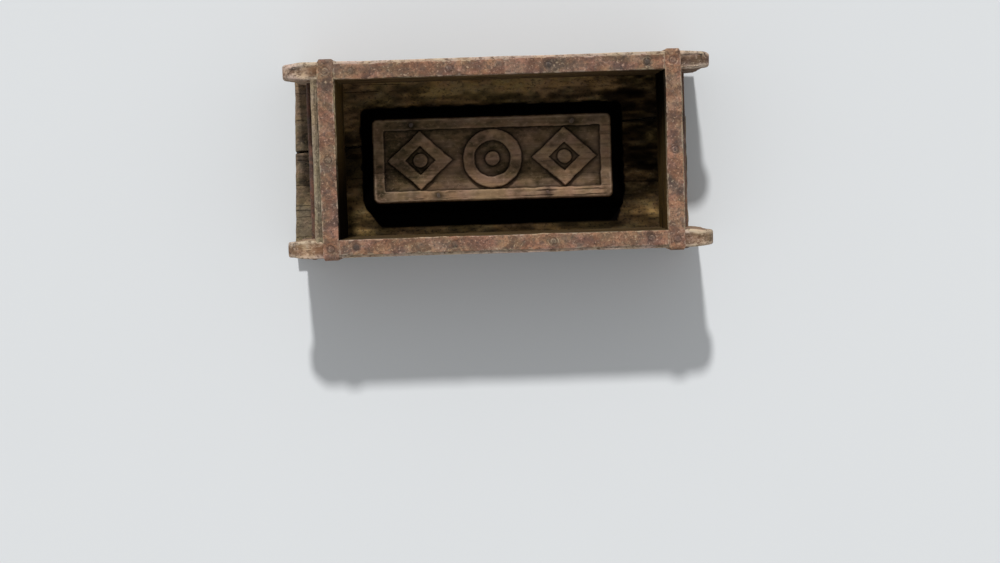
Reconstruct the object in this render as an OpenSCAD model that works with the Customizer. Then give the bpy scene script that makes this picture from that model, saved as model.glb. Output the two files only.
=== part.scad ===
// Wooden brick mould: a nailed box with a raised, carved frog block on its floor,
// bound at each end by a hoop-iron band and tied across its handles by iron rods.
// X runs along the mould, Y across it, and Z up, out of the open face.
// The origin lies on the underside of the base, below the middle of the brick cavity.

/* [Brick cavity] */
// Length of the cavity
cavity_l = 252; // [220:1:300]
// Width of the cavity
cavity_w = 123; // [105:1:150]
// Depth of the cavity, from the wooden rim down to the base
cavity_d = 84; // [72:1:110]

/* [Boards] */
// Thickness of the two side boards
side_t = 14; // [11:0.5:20]
// Thickness of the left end board
left_end_t = 19; // [14:0.5:24]
// Thickness of the right end board
right_end_t = 14; // [14:0.5:24]
// Depth of the housings in the side boards that hold the end boards
housing_d = 3; // [1:0.5:5]
// Slack of an end board in its housing, on each face
housing_slack = 0.15; // [0.05:0.05:0.4]

/* [Base planks] */
// Thickness of the two base planks
base_t = 12; // [9:0.5:18]
// Reach of both planks past the left end board
base_left = 21.8; // [5:0.1:30]
// Skew of the planks' left ends, from the middle of the mould to either side of it
base_skew = 2.3; // [0:0.1:4]
// Reach of the front plank past the right end board
base_right_front = 9.7; // [3:0.1:30]
// Reach of the rear plank past the right end board
base_right_rear = 9; // [3:0.1:30]
// Place across the mould of the slanting plank joint, at the left end
joint_left_y = 7.5; // [0:0.5:12]
// Place across the mould of the slanting plank joint, at the right end
joint_right_y = 28.3; // [18:0.1:30]
// Open gap between the two planks
joint_gap = 1.6; // [0.4:0.1:2.5]

/* [Handle ears] */
// Reach of each ear past its end board, at the lobe
ear_l = 22; // [20:0.5:32]
// Radius of the round lobe at the top of each ear
lobe_r = 14; // [10:0.5:18]
// Step inwards below the lobe, where the fingers close
ear_waist = 3; // [1:0.5:4]
// Further narrowing of each ear down to the base
ear_taper = 1.5; // [0:0.5:3]

/* [Frog block] */
// Length of the carved face
frog_l = 188; // [150:1:190]
// Width of the carved face
frog_w = 64; // [56:1:70]
// Height of the block above the base
frog_h = 19; // [14:0.5:26]
// Slope of the flanks, as their spread from face to foot
frog_flare = 10.5; // [6:0.5:14]
// Corner radius of the carved face
frog_corner_r = 3; // [1:0.5:6]
// Place of the block along the mould
frog_x = -7.4; // [-9:0.1:9]
// Place of the block across the mould
frog_y = -2; // [-4:0.1:4]
// Depth of the carving
relief_d = 4; // [1.5:0.25:5]
// Width of the plain border round the carving
border_w = 7.5; // [6:0.5:11]
// Space between the motifs and the border, across the block
motif_gap = 1; // [0:0.25:4]
// Length that a lozenge leaves bare of its third of the carved field
motif_space = 6; // [2:0.5:12]
// Width of the raised lines of the carving
motif_line = 9; // [5:0.5:10]
// Diameter of the boss in the middle of each motif
boss_d = 11; // [6:0.5:12]

/* [Hoop iron] */
// Thickness of the bands and rim strips
iron_t = 1.8; // [1.2:0.1:3]
// Width of the two bands
band_w = 12.4; // [10:0.2:13.6]
// Bare wood between the cavity and a band
band_inset = 0.8; // [0:0.1:0.8]
// Height of the ends of the bands above the underside of the base
band_end_z = 1; // [0.5:0.5:2]
// Width of the two rim strips
strip_w = 11.6; // [9:0.2:13]
// Gap between a rim strip and the bands
strip_gap = 0.4; // [0.2:0.1:1]

/* [Tie rods] */
// Diameter of the tie rods
rod_d = 3.8; // [3:0.1:6]
// Distance from the outer face of the left end board to the axis of its rod
left_rod_off = 5; // [4:0.1:10]
// Distance from the outer face of the right end board to the axis of its rod
right_rod_off = 3.4; // [3.4:0.1:10]
// Height of the rods
rod_z = 50; // [40:1:56]
// Side of the square rod plates
plate_s = 7; // [6.8:0.1:12]
// Thickness of the rod plates
plate_t = 1.4; // [1:0.1:3]
// Diameter of the hammered heads of the rods
rod_head_d = 5.6; // [5:0.1:8.5]
// Height of the hammered heads of the rods
rod_head_h = 1; // [0.6:0.1:3]
// Least gap between a rod plate and a band
plate_gap = 0.5; // [0.2:0.1:1.5]
// Slack of a rod in its holes, on the radius
rod_slack = 0.1; // [0.05:0.05:0.3]

/* [Nails] */
// Diameter of the nail shanks
shank_d = 2.5; // [2:0.1:3]
// Diameter of the nail heads
nail_head_d = 5; // [4:0.1:5.6]
// Height of the straight edge of the nail heads
nail_edge_h = 0.6; // [0.4:0.1:1]
// Height of the crown of the nail heads
nail_crown_h = 0.5; // [0.3:0.1:1]
// Length of the points of the nails
nail_point_l = 4; // [2:0.5:6]
// Slack round the nails, on the radius
nail_slack = 0.05; // [0.02:0.01:0.15]
// Length of the nails in the rim strips and on top of the bands
rim_nail_l = 26; // [18:1:30]
// Length of the nails through the band legs into the end boards
leg_nail_l = 45; // [30:1:50]
// Length of the nails through the band legs into the edge of the base
foot_nail_l = 24; // [16:1:28]
// Length of the nails through the base
base_nail_l = 28; // [20:1:28]
// Length of the nails through the frog block
frog_nail_l = 28; // [24:1:30]
// Distance from the rim strips' ends to their first nails
strip_nail_inset = 13; // [8:1:20]
// Distance from the wooden rim to the upper leg nails
leg_nail_drop = 36; // [32:1:38]
// Distance from the base to the lower leg nails
leg_nail_rise = 22; // [22:1:26]
// Distance from the middle of the frog block to its rear nails
frog_nail_rear_x = 64; // [50:1:70]
// Distance from the middle of the frog block to its front nails
frog_nail_front_x = 44; // [30:1:60]
// Distance from the middle of the cavity to the outer nails of each side board
base_nail_x = 108; // [90:1:110]

/* [Hidden] */
$fn = 48;
hull_fn = 32;                              // sides of the round corners that are hulled
over = 1;                                  // length by which a cut runs past a face
nails_per_strip = 4;
nails_per_side = 4;
motif_count = 3;                           // a ring between two lozenges
plank_nail_shares = [1 / 4, 3 / 4];        // an end board's nails, across the front plank
nail_crown_d = nail_head_d / 2;            // flat top of a nail's crown
nail_tip_d = shank_d / 4;                  // blunt tip of a nail
rod_crown_d = rod_head_d / 2;              // flat top of a rod's hammered head
rim_z = base_t + cavity_d;                 // height of the wooden rim
iron_z = rim_z + iron_t;                   // height of the iron rim
inner_y = cavity_w / 2;                    // inner faces of the side boards
outer_y = inner_y + side_t;                // outer faces of the side boards
inner_x = cavity_l / 2;                    // inner faces of the end boards
left_x = -inner_x - left_end_t;            // outer face of the left end board
right_x = inner_x + right_end_t;           // outer face of the right end board
base_left_x = left_x - base_left;          // left end of the base, at the middle of the mould
base_front_x = right_x + base_right_front;
base_rear_x = right_x + base_right_rear;
band_x = inner_x + band_inset + band_w / 2;           // middle of the right band
strip_end_x = band_x - band_w / 2 - strip_gap;        // right end of the rim strips
strip_y = inner_y + strip_w / 2;                      // middle of the rear rim strip
side_y = inner_y + side_t / 2;                        // middle of the rear side board
frog_top_z = base_t + frog_h;
field_l = frog_l - 2 * border_w;                      // carved field inside the border
field_w = frog_w - 2 * border_w;
motif_h = field_w - 2 * motif_gap;                    // height of the motifs, across the block
motif_pitch = field_l / motif_count;
lozenge_w = motif_pitch - motif_space;                // width of a lozenge, along the block
rod_least_x = band_x + band_w / 2 + plate_gap + plate_s / 2;
left_rod_x = -max(-left_x + left_rod_off, rod_least_x);
right_rod_x = max(right_x + right_rod_off, rod_least_x);
head_h = nail_edge_h + nail_crown_h;
rim_nail_z = iron_z - head_h;                         // rim nails are let in flush with the iron
leg_zs = [rim_z - leg_nail_drop, base_t + leg_nail_rise];
frog_nail_y = frog_w / 2 - border_w / 2;

// Place of the plank joint across the mould, at a place along it
function joint_y(x) =
    joint_left_y + (joint_right_y - joint_left_y) * (x - base_left_x) / (base_front_x - base_left_x);

// Left end of the base at a place across the mould
function base_left_at(y) = base_left_x + base_skew * y / outer_y;

// Evenly spaced places from -reach to reach
function spread(count, reach) =
    [for (i = [0 : count - 1]) -reach + 2 * reach * i / (count - 1)];

// Where the nails stand, as points on the surface that carries their heads
strip_nail_xs = spread(nails_per_strip, strip_end_x - strip_nail_inset);
side_nail_xs = spread(nails_per_side, base_nail_x);
band_rim_ys = [-side_y, 0, side_y];
frog_nails_at = concat(
    [for (s = [-1, 1]) [frog_x + s * frog_nail_rear_x, frog_y + frog_nail_y]],
    [for (s = [-1, 1]) [frog_x + s * frog_nail_front_x, frog_y - frog_nail_y]]);

// Nails from the base into one end board: two in the front plank, one in the rear plank
function end_nail_ys(x) = concat(
    [for (share = plank_nail_shares) -inner_y + (joint_y(x) + inner_y) * share],
    [(joint_y(x) + inner_y) / 2]);

module old_wood() { color("#6b5140") children(); }
module frog_wood() { color("#7d6a58") children(); }
module rusty_iron() { color("#86695d") children(); }
module nail_iron() { color("#5d4a43") children(); }

// A round-headed nail: the head stands on z = 0 and the shank points down
module nail(length) {
    cylinder(d = nail_head_d, h = nail_edge_h);
    translate([0, 0, nail_edge_h])
        cylinder(d1 = nail_head_d, d2 = nail_crown_d, h = nail_crown_h);
    translate([0, 0, nail_point_l - length])
        cylinder(d = shank_d, h = length - nail_point_l);
    translate([0, 0, -length])
        cylinder(d1 = nail_tip_d, d2 = shank_d, h = nail_point_l);
}

// The hole that a nail leaves, with room above it for a head that is let in
module nail_hole(length) {
    translate([0, 0, -length - nail_slack])
        cylinder(d = shank_d + 2 * nail_slack, h = length + 2 * nail_slack);
    cylinder(d = nail_head_d + 2 * nail_slack, h = head_h + over);
}

// Nails down through a rim strip, let in; side is -1 at the front and 1 at the rear
module at_strip_nails(side) {
    for (x = strip_nail_xs) translate([x, side * strip_y, rim_nail_z]) children();
}

// Nails down through the top of a band, let in; side is -1 at the left and 1 at the right
module at_band_rim_nails(side) {
    for (y = band_rim_ys) translate([side * band_x, y, rim_nail_z]) children();
}

// Nails in through the legs of a band, at one height
module at_band_leg_nails(side, z) {
    for (s = [-1, 1])
        translate([side * band_x, s * (outer_y + iron_t), z]) rotate([-s * 90, 0, 0]) children();
}

// Nails up through the base into a side board, their heads let into its underside
module at_side_nails(side) {
    for (x = side_nail_xs) translate([x, side * side_y, head_h]) rotate([180, 0, 0]) children();
}

// Nails up through the base into an end board, given the middle of that board
module at_end_nails(x) {
    for (y = end_nail_ys(x)) translate([x, y, head_h]) rotate([180, 0, 0]) children();
}

// Nails down through the border of the frog block, let in to the crown of their heads
module at_frog_nails() {
    for (p = frog_nails_at) translate([p[0], p[1], frog_top_z - nail_edge_h]) children();
}

module every_base_nail_hole() {
    for (side = [-1, 1]) at_side_nails(side) nail_hole(base_nail_l);
    at_end_nails(left_x + left_end_t / 2) nail_hole(base_nail_l);
    at_end_nails(right_x - right_end_t / 2) nail_hole(base_nail_l);
}

module every_leg_nail_hole() {
    for (side = [-1, 1]) {
        for (z = leg_zs) at_band_leg_nails(side, z) nail_hole(leg_nail_l);
        at_band_leg_nails(side, base_t / 2) nail_hole(foot_nail_l);
    }
}

module every_rim_nail_hole() {
    for (side = [-1, 1]) {
        at_strip_nails(side) nail_hole(rim_nail_l);
        at_band_rim_nails(side) nail_hole(rim_nail_l);
    }
}

// One base plank from its outline seen from above
module base_plank(outline) {
    old_wood() difference() {
        linear_extrude(base_t) polygon(outline);
        every_base_nail_hole();
        at_frog_nails() nail_hole(frog_nail_l);
        every_leg_nail_hole();
    }
}

module base_plank_front() {
    joint_x = base_left_at(joint_left_y);
    base_plank([
        [base_left_at(-outer_y), -outer_y], [base_front_x, -outer_y],
        [base_front_x, joint_y(base_front_x) - joint_gap / 2],
        [joint_x, joint_y(joint_x) - joint_gap / 2]]);
}

module base_plank_rear() {
    joint_x = base_left_at(joint_left_y);
    base_plank([
        [base_left_at(outer_y), outer_y], [base_rear_x, outer_y],
        [base_rear_x, joint_y(base_rear_x) + joint_gap / 2],
        [joint_x, joint_y(joint_x) + joint_gap / 2]]);
}

// Outline of a right-hand ear seen from the front, from the end board's outer face:
// a round lobe level with the rim, a step in below it, and a straight edge to the base
module ear_outline() {
    lobe_z = rim_z - lobe_r;
    polygon([[-over, base_t], [ear_l - ear_waist - ear_taper, base_t],
        [ear_l - ear_waist, lobe_z], [-over, lobe_z]]);
    translate([-over, lobe_z - over]) square([over + ear_l - lobe_r, over + lobe_r]);
    translate([ear_l - lobe_r, lobe_z]) circle(lobe_r);
}

module side_outline() {
    translate([left_x, base_t]) square([right_x - left_x, cavity_d]);
    translate([right_x, 0]) ear_outline();
    translate([left_x, 0]) mirror([1, 0]) ear_outline();
}

// A side board with its two ears; side is -1 at the front and 1 at the rear
module side_board(side) {
    old_wood() difference() {
        translate([0, side * side_y + side_t / 2, 0])
            rotate([90, 0, 0]) linear_extrude(side_t) side_outline();
        end_board_room(left_x, left_end_t);
        end_board_room(right_x - right_end_t, right_end_t);
        for (x = [left_rod_x, right_rod_x]) rod_hole(x);
        every_base_nail_hole();
        every_leg_nail_hole();
        every_rim_nail_hole();
    }
}

module side_board_front() { side_board(-1); }
module side_board_rear() { side_board(1); }

// The housings for one end board, cut from both side boards at once
module end_board_room(x, thickness) {
    translate([x - housing_slack, -inner_y - housing_d, base_t - over])
        cube([thickness + 2 * housing_slack, cavity_w + 2 * housing_d, cavity_d + 2 * over]);
}

// An end board, from its left face, with its tongues in the housings
module end_board(x, thickness) {
    tongue = housing_d - housing_slack;
    old_wood() difference() {
        translate([x, -inner_y - tongue, base_t]) cube([thickness, cavity_w + 2 * tongue, cavity_d]);
        every_base_nail_hole();
        every_leg_nail_hole();
        every_rim_nail_hole();
    }
}

module end_board_left() { end_board(left_x, left_end_t); }
module end_board_right() { end_board(inner_x, right_end_t); }

module lozenge(w, h) { polygon([[-w / 2, 0], [0, -h / 2], [w / 2, 0], [0, h / 2]]); }

// A raised lozenge line round a boss
module lozenge_motif() {
    inner = 1 - 2 * motif_line * norm([lozenge_w, motif_h]) / (lozenge_w * motif_h);
    difference() {
        lozenge(lozenge_w, motif_h);
        lozenge(lozenge_w * inner, motif_h * inner);
    }
    circle(d = boss_d);
}

// A raised ring round a boss
module ring_motif() {
    difference() {
        circle(d = motif_h);
        circle(d = motif_h - 2 * motif_line);
    }
    circle(d = boss_d);
}

// The block with sloping flanks, before it is carved
module frog_body() {
    hull() for (sx = [-1, 1], sy = [-1, 1])
        translate([sx * (frog_l / 2 - frog_corner_r), sy * (frog_w / 2 - frog_corner_r), 0])
            cylinder(h = frog_h, r1 = frog_corner_r + frog_flare, r2 = frog_corner_r, $fn = hull_fn);
}

module frog_block() {
    frog_wood() difference() {
        translate([frog_x, frog_y, base_t]) difference() {
            frog_body();
            translate([0, 0, frog_h - relief_d]) linear_extrude(relief_d + over) difference() {
                square([field_l, field_w], center = true);
                ring_motif();
                for (s = [-1, 1]) translate([s * motif_pitch, 0]) lozenge_motif();
            }
        }
        at_frog_nails() nail_hole(frog_nail_l);
    }
}

// A flat iron strip on the rim of a side board, its inner edge flush with the cavity
module rim_strip(side) {
    rusty_iron() difference() {
        translate([-strip_end_x, side * strip_y - strip_w / 2, rim_z])
            cube([2 * strip_end_x, strip_w, iron_t]);
        at_strip_nails(side) nail_hole(rim_nail_l);
    }
}

module rim_strip_front() { rim_strip(-1); }
module rim_strip_rear() { rim_strip(1); }

// A band seen from its end: over the rim, bent down both side boards to the base's edge
module band_outline() {
    translate([-outer_y, rim_z]) square([2 * outer_y, iron_t]);
    for (s = [0, 1]) mirror([s, 0]) {
        translate([outer_y, band_end_z]) square([iron_t, rim_z - band_end_z]);
        translate([outer_y, rim_z]) intersection() {
            circle(iron_t);
            square(iron_t);
        }
    }
}

module band(side) {
    rusty_iron() difference() {
        translate([side * band_x - band_w / 2, 0, 0])
            rotate([90, 0, 90]) linear_extrude(band_w) band_outline();
        every_leg_nail_hole();
        at_band_rim_nails(side) nail_hole(rim_nail_l);
    }
}

module band_left() { band(-1); }
module band_right() { band(1); }

module rod_hole(x) {
    translate([x, 0, rod_z]) rotate([90, 0, 0])
        cylinder(d = rod_d + 2 * rod_slack, h = 2 * (outer_y + plate_t + over), center = true);
}

// A tie rod through both ears, its ends hammered over the plates
module tie_rod(x) {
    rusty_iron() translate([x, 0, rod_z]) rotate([90, 0, 0]) {
        cylinder(d = rod_d, h = 2 * (outer_y + plate_t), center = true);
        for (s = [0, 1]) mirror([0, 0, s]) translate([0, 0, outer_y + plate_t])
            cylinder(d1 = rod_head_d, d2 = rod_crown_d, h = rod_head_h);
    }
}

module tie_rod_left() { tie_rod(left_rod_x); }
module tie_rod_right() { tie_rod(right_rod_x); }

// A square plate under the head of a rod
module rod_plate(x, side) {
    rusty_iron() difference() {
        translate([x, side * (outer_y + plate_t / 2), rod_z])
            cube([plate_s, plate_t, plate_s], center = true);
        rod_hole(x);
    }
}

module rod_plate_left_front() { rod_plate(left_rod_x, -1); }
module rod_plate_left_rear() { rod_plate(left_rod_x, 1); }
module rod_plate_right_front() { rod_plate(right_rod_x, -1); }
module rod_plate_right_rear() { rod_plate(right_rod_x, 1); }

module rim_strip_nails_front() { nail_iron() at_strip_nails(-1) nail(rim_nail_l); }
module rim_strip_nails_rear() { nail_iron() at_strip_nails(1) nail(rim_nail_l); }
module band_rim_nails_left() { nail_iron() at_band_rim_nails(-1) nail(rim_nail_l); }
module band_rim_nails_right() { nail_iron() at_band_rim_nails(1) nail(rim_nail_l); }

module band_leg_nails(side) {
    nail_iron() {
        for (z = leg_zs) at_band_leg_nails(side, z) nail(leg_nail_l);
        at_band_leg_nails(side, base_t / 2) nail(foot_nail_l);
    }
}

module band_leg_nails_left() { band_leg_nails(-1); }
module band_leg_nails_right() { band_leg_nails(1); }
module frog_nails() { nail_iron() at_frog_nails() nail(frog_nail_l); }
module base_nails_front() { nail_iron() at_side_nails(-1) nail(base_nail_l); }
module base_nails_rear() { nail_iron() at_side_nails(1) nail(base_nail_l); }
module base_nails_left() { nail_iron() at_end_nails(left_x + left_end_t / 2) nail(base_nail_l); }
module base_nails_right() { nail_iron() at_end_nails(right_x - right_end_t / 2) nail(base_nail_l); }

base_plank_front();
base_plank_rear();
side_board_front();
side_board_rear();
end_board_left();
end_board_right();
frog_block();
rim_strip_front();
rim_strip_rear();
band_left();
band_right();
tie_rod_left();
tie_rod_right();
rod_plate_left_front();
rod_plate_left_rear();
rod_plate_right_front();
rod_plate_right_rear();
rim_strip_nails_front();
rim_strip_nails_rear();
band_rim_nails_left();
band_rim_nails_right();
band_leg_nails_left();
band_leg_nails_right();
frog_nails();
base_nails_front();
base_nails_rear();
base_nails_left();
base_nails_right();
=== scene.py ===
"""An old wooden brick mould, dressed over its fixed frame.

Worn boards, a carved frog block, hoop iron, tie rods and nails are surfaces on grids of two
parameters, worked out in millimetres as whole arrays and put into the meshes in metres.
"""

import logging
from collections.abc import Sequence
from dataclasses import dataclass, field
from enum import Enum

import bmesh
import bpy
import numpy as np
from mathutils import Matrix, Vector

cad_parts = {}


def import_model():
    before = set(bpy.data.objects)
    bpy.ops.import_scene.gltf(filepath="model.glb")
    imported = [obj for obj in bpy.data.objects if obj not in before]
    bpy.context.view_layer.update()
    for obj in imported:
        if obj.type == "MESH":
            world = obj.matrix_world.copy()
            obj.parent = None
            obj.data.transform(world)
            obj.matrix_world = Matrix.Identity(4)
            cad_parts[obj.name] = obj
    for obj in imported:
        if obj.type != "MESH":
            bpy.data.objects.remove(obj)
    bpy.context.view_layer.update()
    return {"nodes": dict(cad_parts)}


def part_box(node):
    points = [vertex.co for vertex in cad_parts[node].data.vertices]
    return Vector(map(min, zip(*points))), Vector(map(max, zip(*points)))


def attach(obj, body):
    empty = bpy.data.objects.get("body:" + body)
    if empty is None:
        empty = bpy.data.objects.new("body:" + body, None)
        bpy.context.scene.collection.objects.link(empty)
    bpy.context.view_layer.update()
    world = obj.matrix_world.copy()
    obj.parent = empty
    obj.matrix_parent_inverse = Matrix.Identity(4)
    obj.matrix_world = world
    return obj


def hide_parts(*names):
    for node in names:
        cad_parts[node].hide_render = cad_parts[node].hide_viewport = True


LOG = logging.getLogger("brick_mould")

# Lengths: metres in a millimetre, a length close to none, and the steps of the weld in a millimetre
MM = 0.001
TINY = 1e-9
WELD_STEPS = 1e4

# The standard curve between a screen's colours and light
SCREEN_TOP = 255.0
SCREEN_TOE = 0.04045
SCREEN_SLOPE = 12.92
SCREEN_SHIFT = 0.055
SCREEN_POWER = 2.4

# The noise: its whole-number hash, and how far its seeds and those of the two sides lie apart
HASH_AXES = (374761393, 668265263, 2147483647)
HASH_SEED = 1274126177
HASH_MASK = 0xFFFFFFFF
HASH_SHIFTS = (13, 16)
HASH_TOP = 0xFFFF
SEED_SPREAD = 17.31
SEED_STEP = 7

# Short names for types
Colour = tuple[int, int, int]
Point = tuple[float, float, float]
Stretch = tuple[float, float]
Socket = bpy.types.NodeSocket
Value = Socket | float | tuple[float, ...]


class Side(Enum):
    """The side of the mould that a piece belongs to, below zero for front and left."""

    FRONT = -1
    REAR = 1
    LEFT = -2
    RIGHT = 2

    @property
    def sign(self) -> int:
        """Minus one for front and left, plus one for rear and right."""
        return 1 if self.value > 0 else -1

    @property
    def word(self) -> str:
        """The side's name as it stands in the names of the nodes."""
        return self.name.lower()


class Grain(Enum):
    """The direction in which the fibres of a board run, as the number of its axis."""

    ALONG_X = 0
    ALONG_Y = 1


class Sum(Enum):
    """A step of arithmetic in a material's nodes."""

    TIMES = "MULTIPLY"
    LESS = "SUBTRACT"
    LARGER = "MAXIMUM"
    SIZE = "ABSOLUTE"


class Lay(Enum):
    """How one colour is put on another in a material's nodes."""

    OVER = "MIX"
    TINT = "MULTIPLY"


@dataclass(frozen=True)
class BySide:
    """A value that differs between the front board and the rear one."""

    front: float
    rear: float

    def at(self, side: Side) -> float:
        """The value for one side."""
        return self.rear if side is Side.REAR else self.front


# Arrays and meshes


def linear(colour: Colour) -> tuple[float, float, float, float]:
    """Turn a colour as seen on a screen into light values.

    Args:
        colour: Red, green and blue, where 255 is full light.

    Returns:
        Red, green, blue and a full alpha, for a shader's socket.
    """
    share = np.asarray(colour, float) / SCREEN_TOP
    low = share / SCREEN_SLOPE
    high = ((share + SCREEN_SHIFT) / (1.0 + SCREEN_SHIFT)) ** SCREEN_POWER
    return (*np.where(share <= SCREEN_TOE, low, high).tolist(), 1.0)


def smooth_step(low: float, high: float, value: np.ndarray) -> np.ndarray:
    """Rise from 0 at low to 1 at high along the curve 3t² - 2t³.

    Args:
        low: Where the rise starts.
        high: Where the rise ends.
        value: The array to map.

    Returns:
        The mapped array.
    """
    t = np.clip((value - low) / (high - low), 0.0, 1.0)
    return t * t * (3.0 - 2.0 * t)


def lattice_noise(points: np.ndarray, cell: float | Point, seed: int) -> np.ndarray:
    """Smooth noise between -1 and 1 at each point.

    Every corner of a lattice of cells gets a fixed number from a whole-number hash, and the
    eight corners round a point are blended by the curve 3t² - 2t³ along each axis.

    Args:
        points: Places, with three numbers in the last axis.
        cell: Size of a cell, the same for all axes or one for each.
        seed: Chooses one noise among many.

    Returns:
        One number for each point.
    """
    place = np.asarray(points, float) / np.asarray(cell, float) + seed * SEED_SPREAD
    corner = np.floor(place).astype(np.int64)
    t = place - corner
    t = t * t * (3.0 - 2.0 * t)
    total = np.zeros(place.shape[:-1])
    for step in np.ndindex(2, 2, 2):
        key = corner + np.array(step)
        mix = (key * np.array(HASH_AXES)).sum(axis=-1)
        mix = (mix + seed * HASH_SEED) & HASH_MASK
        mix = ((mix ^ (mix >> HASH_SHIFTS[0])) * HASH_SEED) & HASH_MASK
        mix = mix ^ (mix >> HASH_SHIFTS[1])
        number = 2.0 * (mix & HASH_TOP) / HASH_TOP - 1.0
        weight = np.prod(np.where(np.array(step) == 1, t, 1.0 - t), axis=-1)
        total += number * weight
    return total


@dataclass(frozen=True)
class Wear:
    """An unevenness: its cells along each axis and its reach, in millimetres, and its own draw."""

    cell: Point
    reach: float
    draw: int = 0

    def height(self, points: np.ndarray, seed: int) -> np.ndarray:
        """The reach times a lattice noise, which the piece's seed and the own draw choose.

        Args:
            points: Places, with three numbers in the last axis.
            seed: The piece's seed.

        Returns:
            One height for each point.
        """
        return self.reach * lattice_noise(points, self.cell, seed + self.draw)

    def shift(self, points: np.ndarray, seed: int) -> np.ndarray:
        """Small three-way shifts from three noises.

        Args:
            points: Places, with three numbers in the last axis.
            seed: The piece's seed.

        Returns:
            A shift for each point.
        """
        return np.stack([self.height(points, seed + axis) for axis in range(3)], axis=-1)


def grid_quads(rows: int, columns: int, close_rows: bool, close_columns: bool) -> np.ndarray:
    """The quads of a grid of points counted row by row.

    Args:
        rows: Number of rows.
        columns: Number of columns.
        close_rows: Joins the last row to the first.
        close_columns: Joins the last column to the first.

    Returns:
        Four point numbers for each quad.
    """
    r = np.arange(rows if close_rows else rows - 1)[:, None]
    c = np.arange(columns if close_columns else columns - 1)[None, :]
    r_next = (r + 1) % rows
    c_next = (c + 1) % columns
    quads = [r * columns + c, r_next * columns + c, r_next * columns + c_next, r * columns + c_next]
    return np.stack(np.broadcast_arrays(*quads), axis=-1).reshape(-1, 4)


@dataclass
class Surface:
    """Points in millimetres, the faces between them and numbers kept at the points."""

    points: np.ndarray
    quads: np.ndarray
    marks: dict[str, np.ndarray] = field(default_factory=dict)
    caps: list[np.ndarray] = field(default_factory=list)

    def welded(self) -> tuple["Surface", np.ndarray]:
        """Merge points that share a place, to a step of the weld.

        Returns:
            The merged surface with its true quads, and the triangles that quads shrank to.
        """
        key = np.round(self.points * WELD_STEPS).astype(np.int64)
        _, first, index = np.unique(key, axis=0, return_index=True, return_inverse=True)
        index = index.reshape(-1)
        quads = index[self.quads]
        same = quads == np.roll(quads, -1, axis=1)
        whole = quads[~same.any(axis=1)]
        shrunk = quads[same.sum(axis=1) == 1]
        keep = ~same[same.sum(axis=1) == 1]
        triangles = shrunk[keep].reshape(-1, 3)
        marks = {name: values[first] for name, values in self.marks.items()}
        caps = [index[cap] for cap in self.caps]
        return Surface(self.points[first], whole, marks, caps), triangles

    def to_object(self, name: str) -> bpy.types.Object:
        """Make a smooth, closed mesh object in metres, with outward faces.

        Args:
            name: The piece's name.

        Returns:
            The object, at the origin and unturned.
        """
        surface, triangles = self.welded()
        faces = [surface.quads.ravel(), triangles.ravel(), *surface.caps]
        totals = [np.full(len(surface.quads), 4), np.full(len(triangles), 3)]
        totals += [np.array([len(cap)]) for cap in surface.caps]
        corners = np.concatenate(faces).astype(np.int32)
        total = np.concatenate(totals).astype(np.int32)
        start = (np.cumsum(total) - total).astype(np.int32)
        mesh = bpy.data.meshes.new(name)
        mesh.vertices.add(len(surface.points))
        mesh.vertices.foreach_set("co", (surface.points * MM).astype(np.float32).ravel())
        mesh.loops.add(len(corners))
        mesh.loops.foreach_set("vertex_index", corners)
        mesh.polygons.add(len(total))
        mesh.polygons.foreach_set("loop_start", start)
        mesh.polygons.foreach_set("loop_total", total)
        mesh.update(calc_edges=True)
        for mark, values in surface.marks.items():
            layer = mesh.attributes.new(mark, "FLOAT", "POINT")
            layer.data.foreach_set("value", values.astype(np.float32))
        work = bmesh.new()
        work.from_mesh(mesh)
        bmesh.ops.recalc_face_normals(work, faces=work.faces)
        work.to_mesh(mesh)
        work.free()
        mesh.polygons.foreach_set("use_smooth", np.ones(len(mesh.polygons), bool))
        mesh.update()
        piece = bpy.data.objects.new(name, mesh)
        bpy.context.scene.collection.objects.link(piece)
        return piece


def joined(surfaces: list[Surface]) -> Surface:
    """Put several surfaces with the same marks into one.

    Args:
        surfaces: The surfaces to join.

    Returns:
        One surface that holds them all, not merged where they touch.
    """
    counts = np.array([len(s.points) for s in surfaces])
    offsets = np.cumsum(counts) - counts
    points = np.concatenate([s.points for s in surfaces])
    quads = np.concatenate([s.quads + o for s, o in zip(surfaces, offsets)])
    marks = {n: np.concatenate([s.marks[n] for s in surfaces]) for n in surfaces[0].marks}
    caps = [cap + o for s, o in zip(surfaces, offsets) for cap in s.caps]
    return Surface(points, quads, marks, caps)


def box_mm(node: str) -> tuple[np.ndarray, np.ndarray]:
    """The lowest and highest corners of a node of the frame, in millimetres.

    Args:
        node: The node's name.

    Returns:
        The two corners.
    """
    low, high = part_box(node)
    return np.array(low) / MM, np.array(high) / MM


def closed_line(corners: np.ndarray, spacing: float) -> np.ndarray:
    """Points at even distances along a closed line.

    Args:
        corners: The line's corners in order, in its own plane.
        spacing: Largest distance between neighbours.

    Returns:
        The points, starting at the first corner.
    """
    ring = np.vstack([corners, corners[:1]])
    run = np.concatenate([[0.0], np.cumsum(np.linalg.norm(np.diff(ring, axis=0), axis=1))])
    count = int(np.ceil(run[-1] / spacing))
    at = np.linspace(0.0, run[-1], count, endpoint=False)
    return np.stack([np.interp(at, run, ring[:, 0]), np.interp(at, run, ring[:, 1])], axis=-1)


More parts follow.
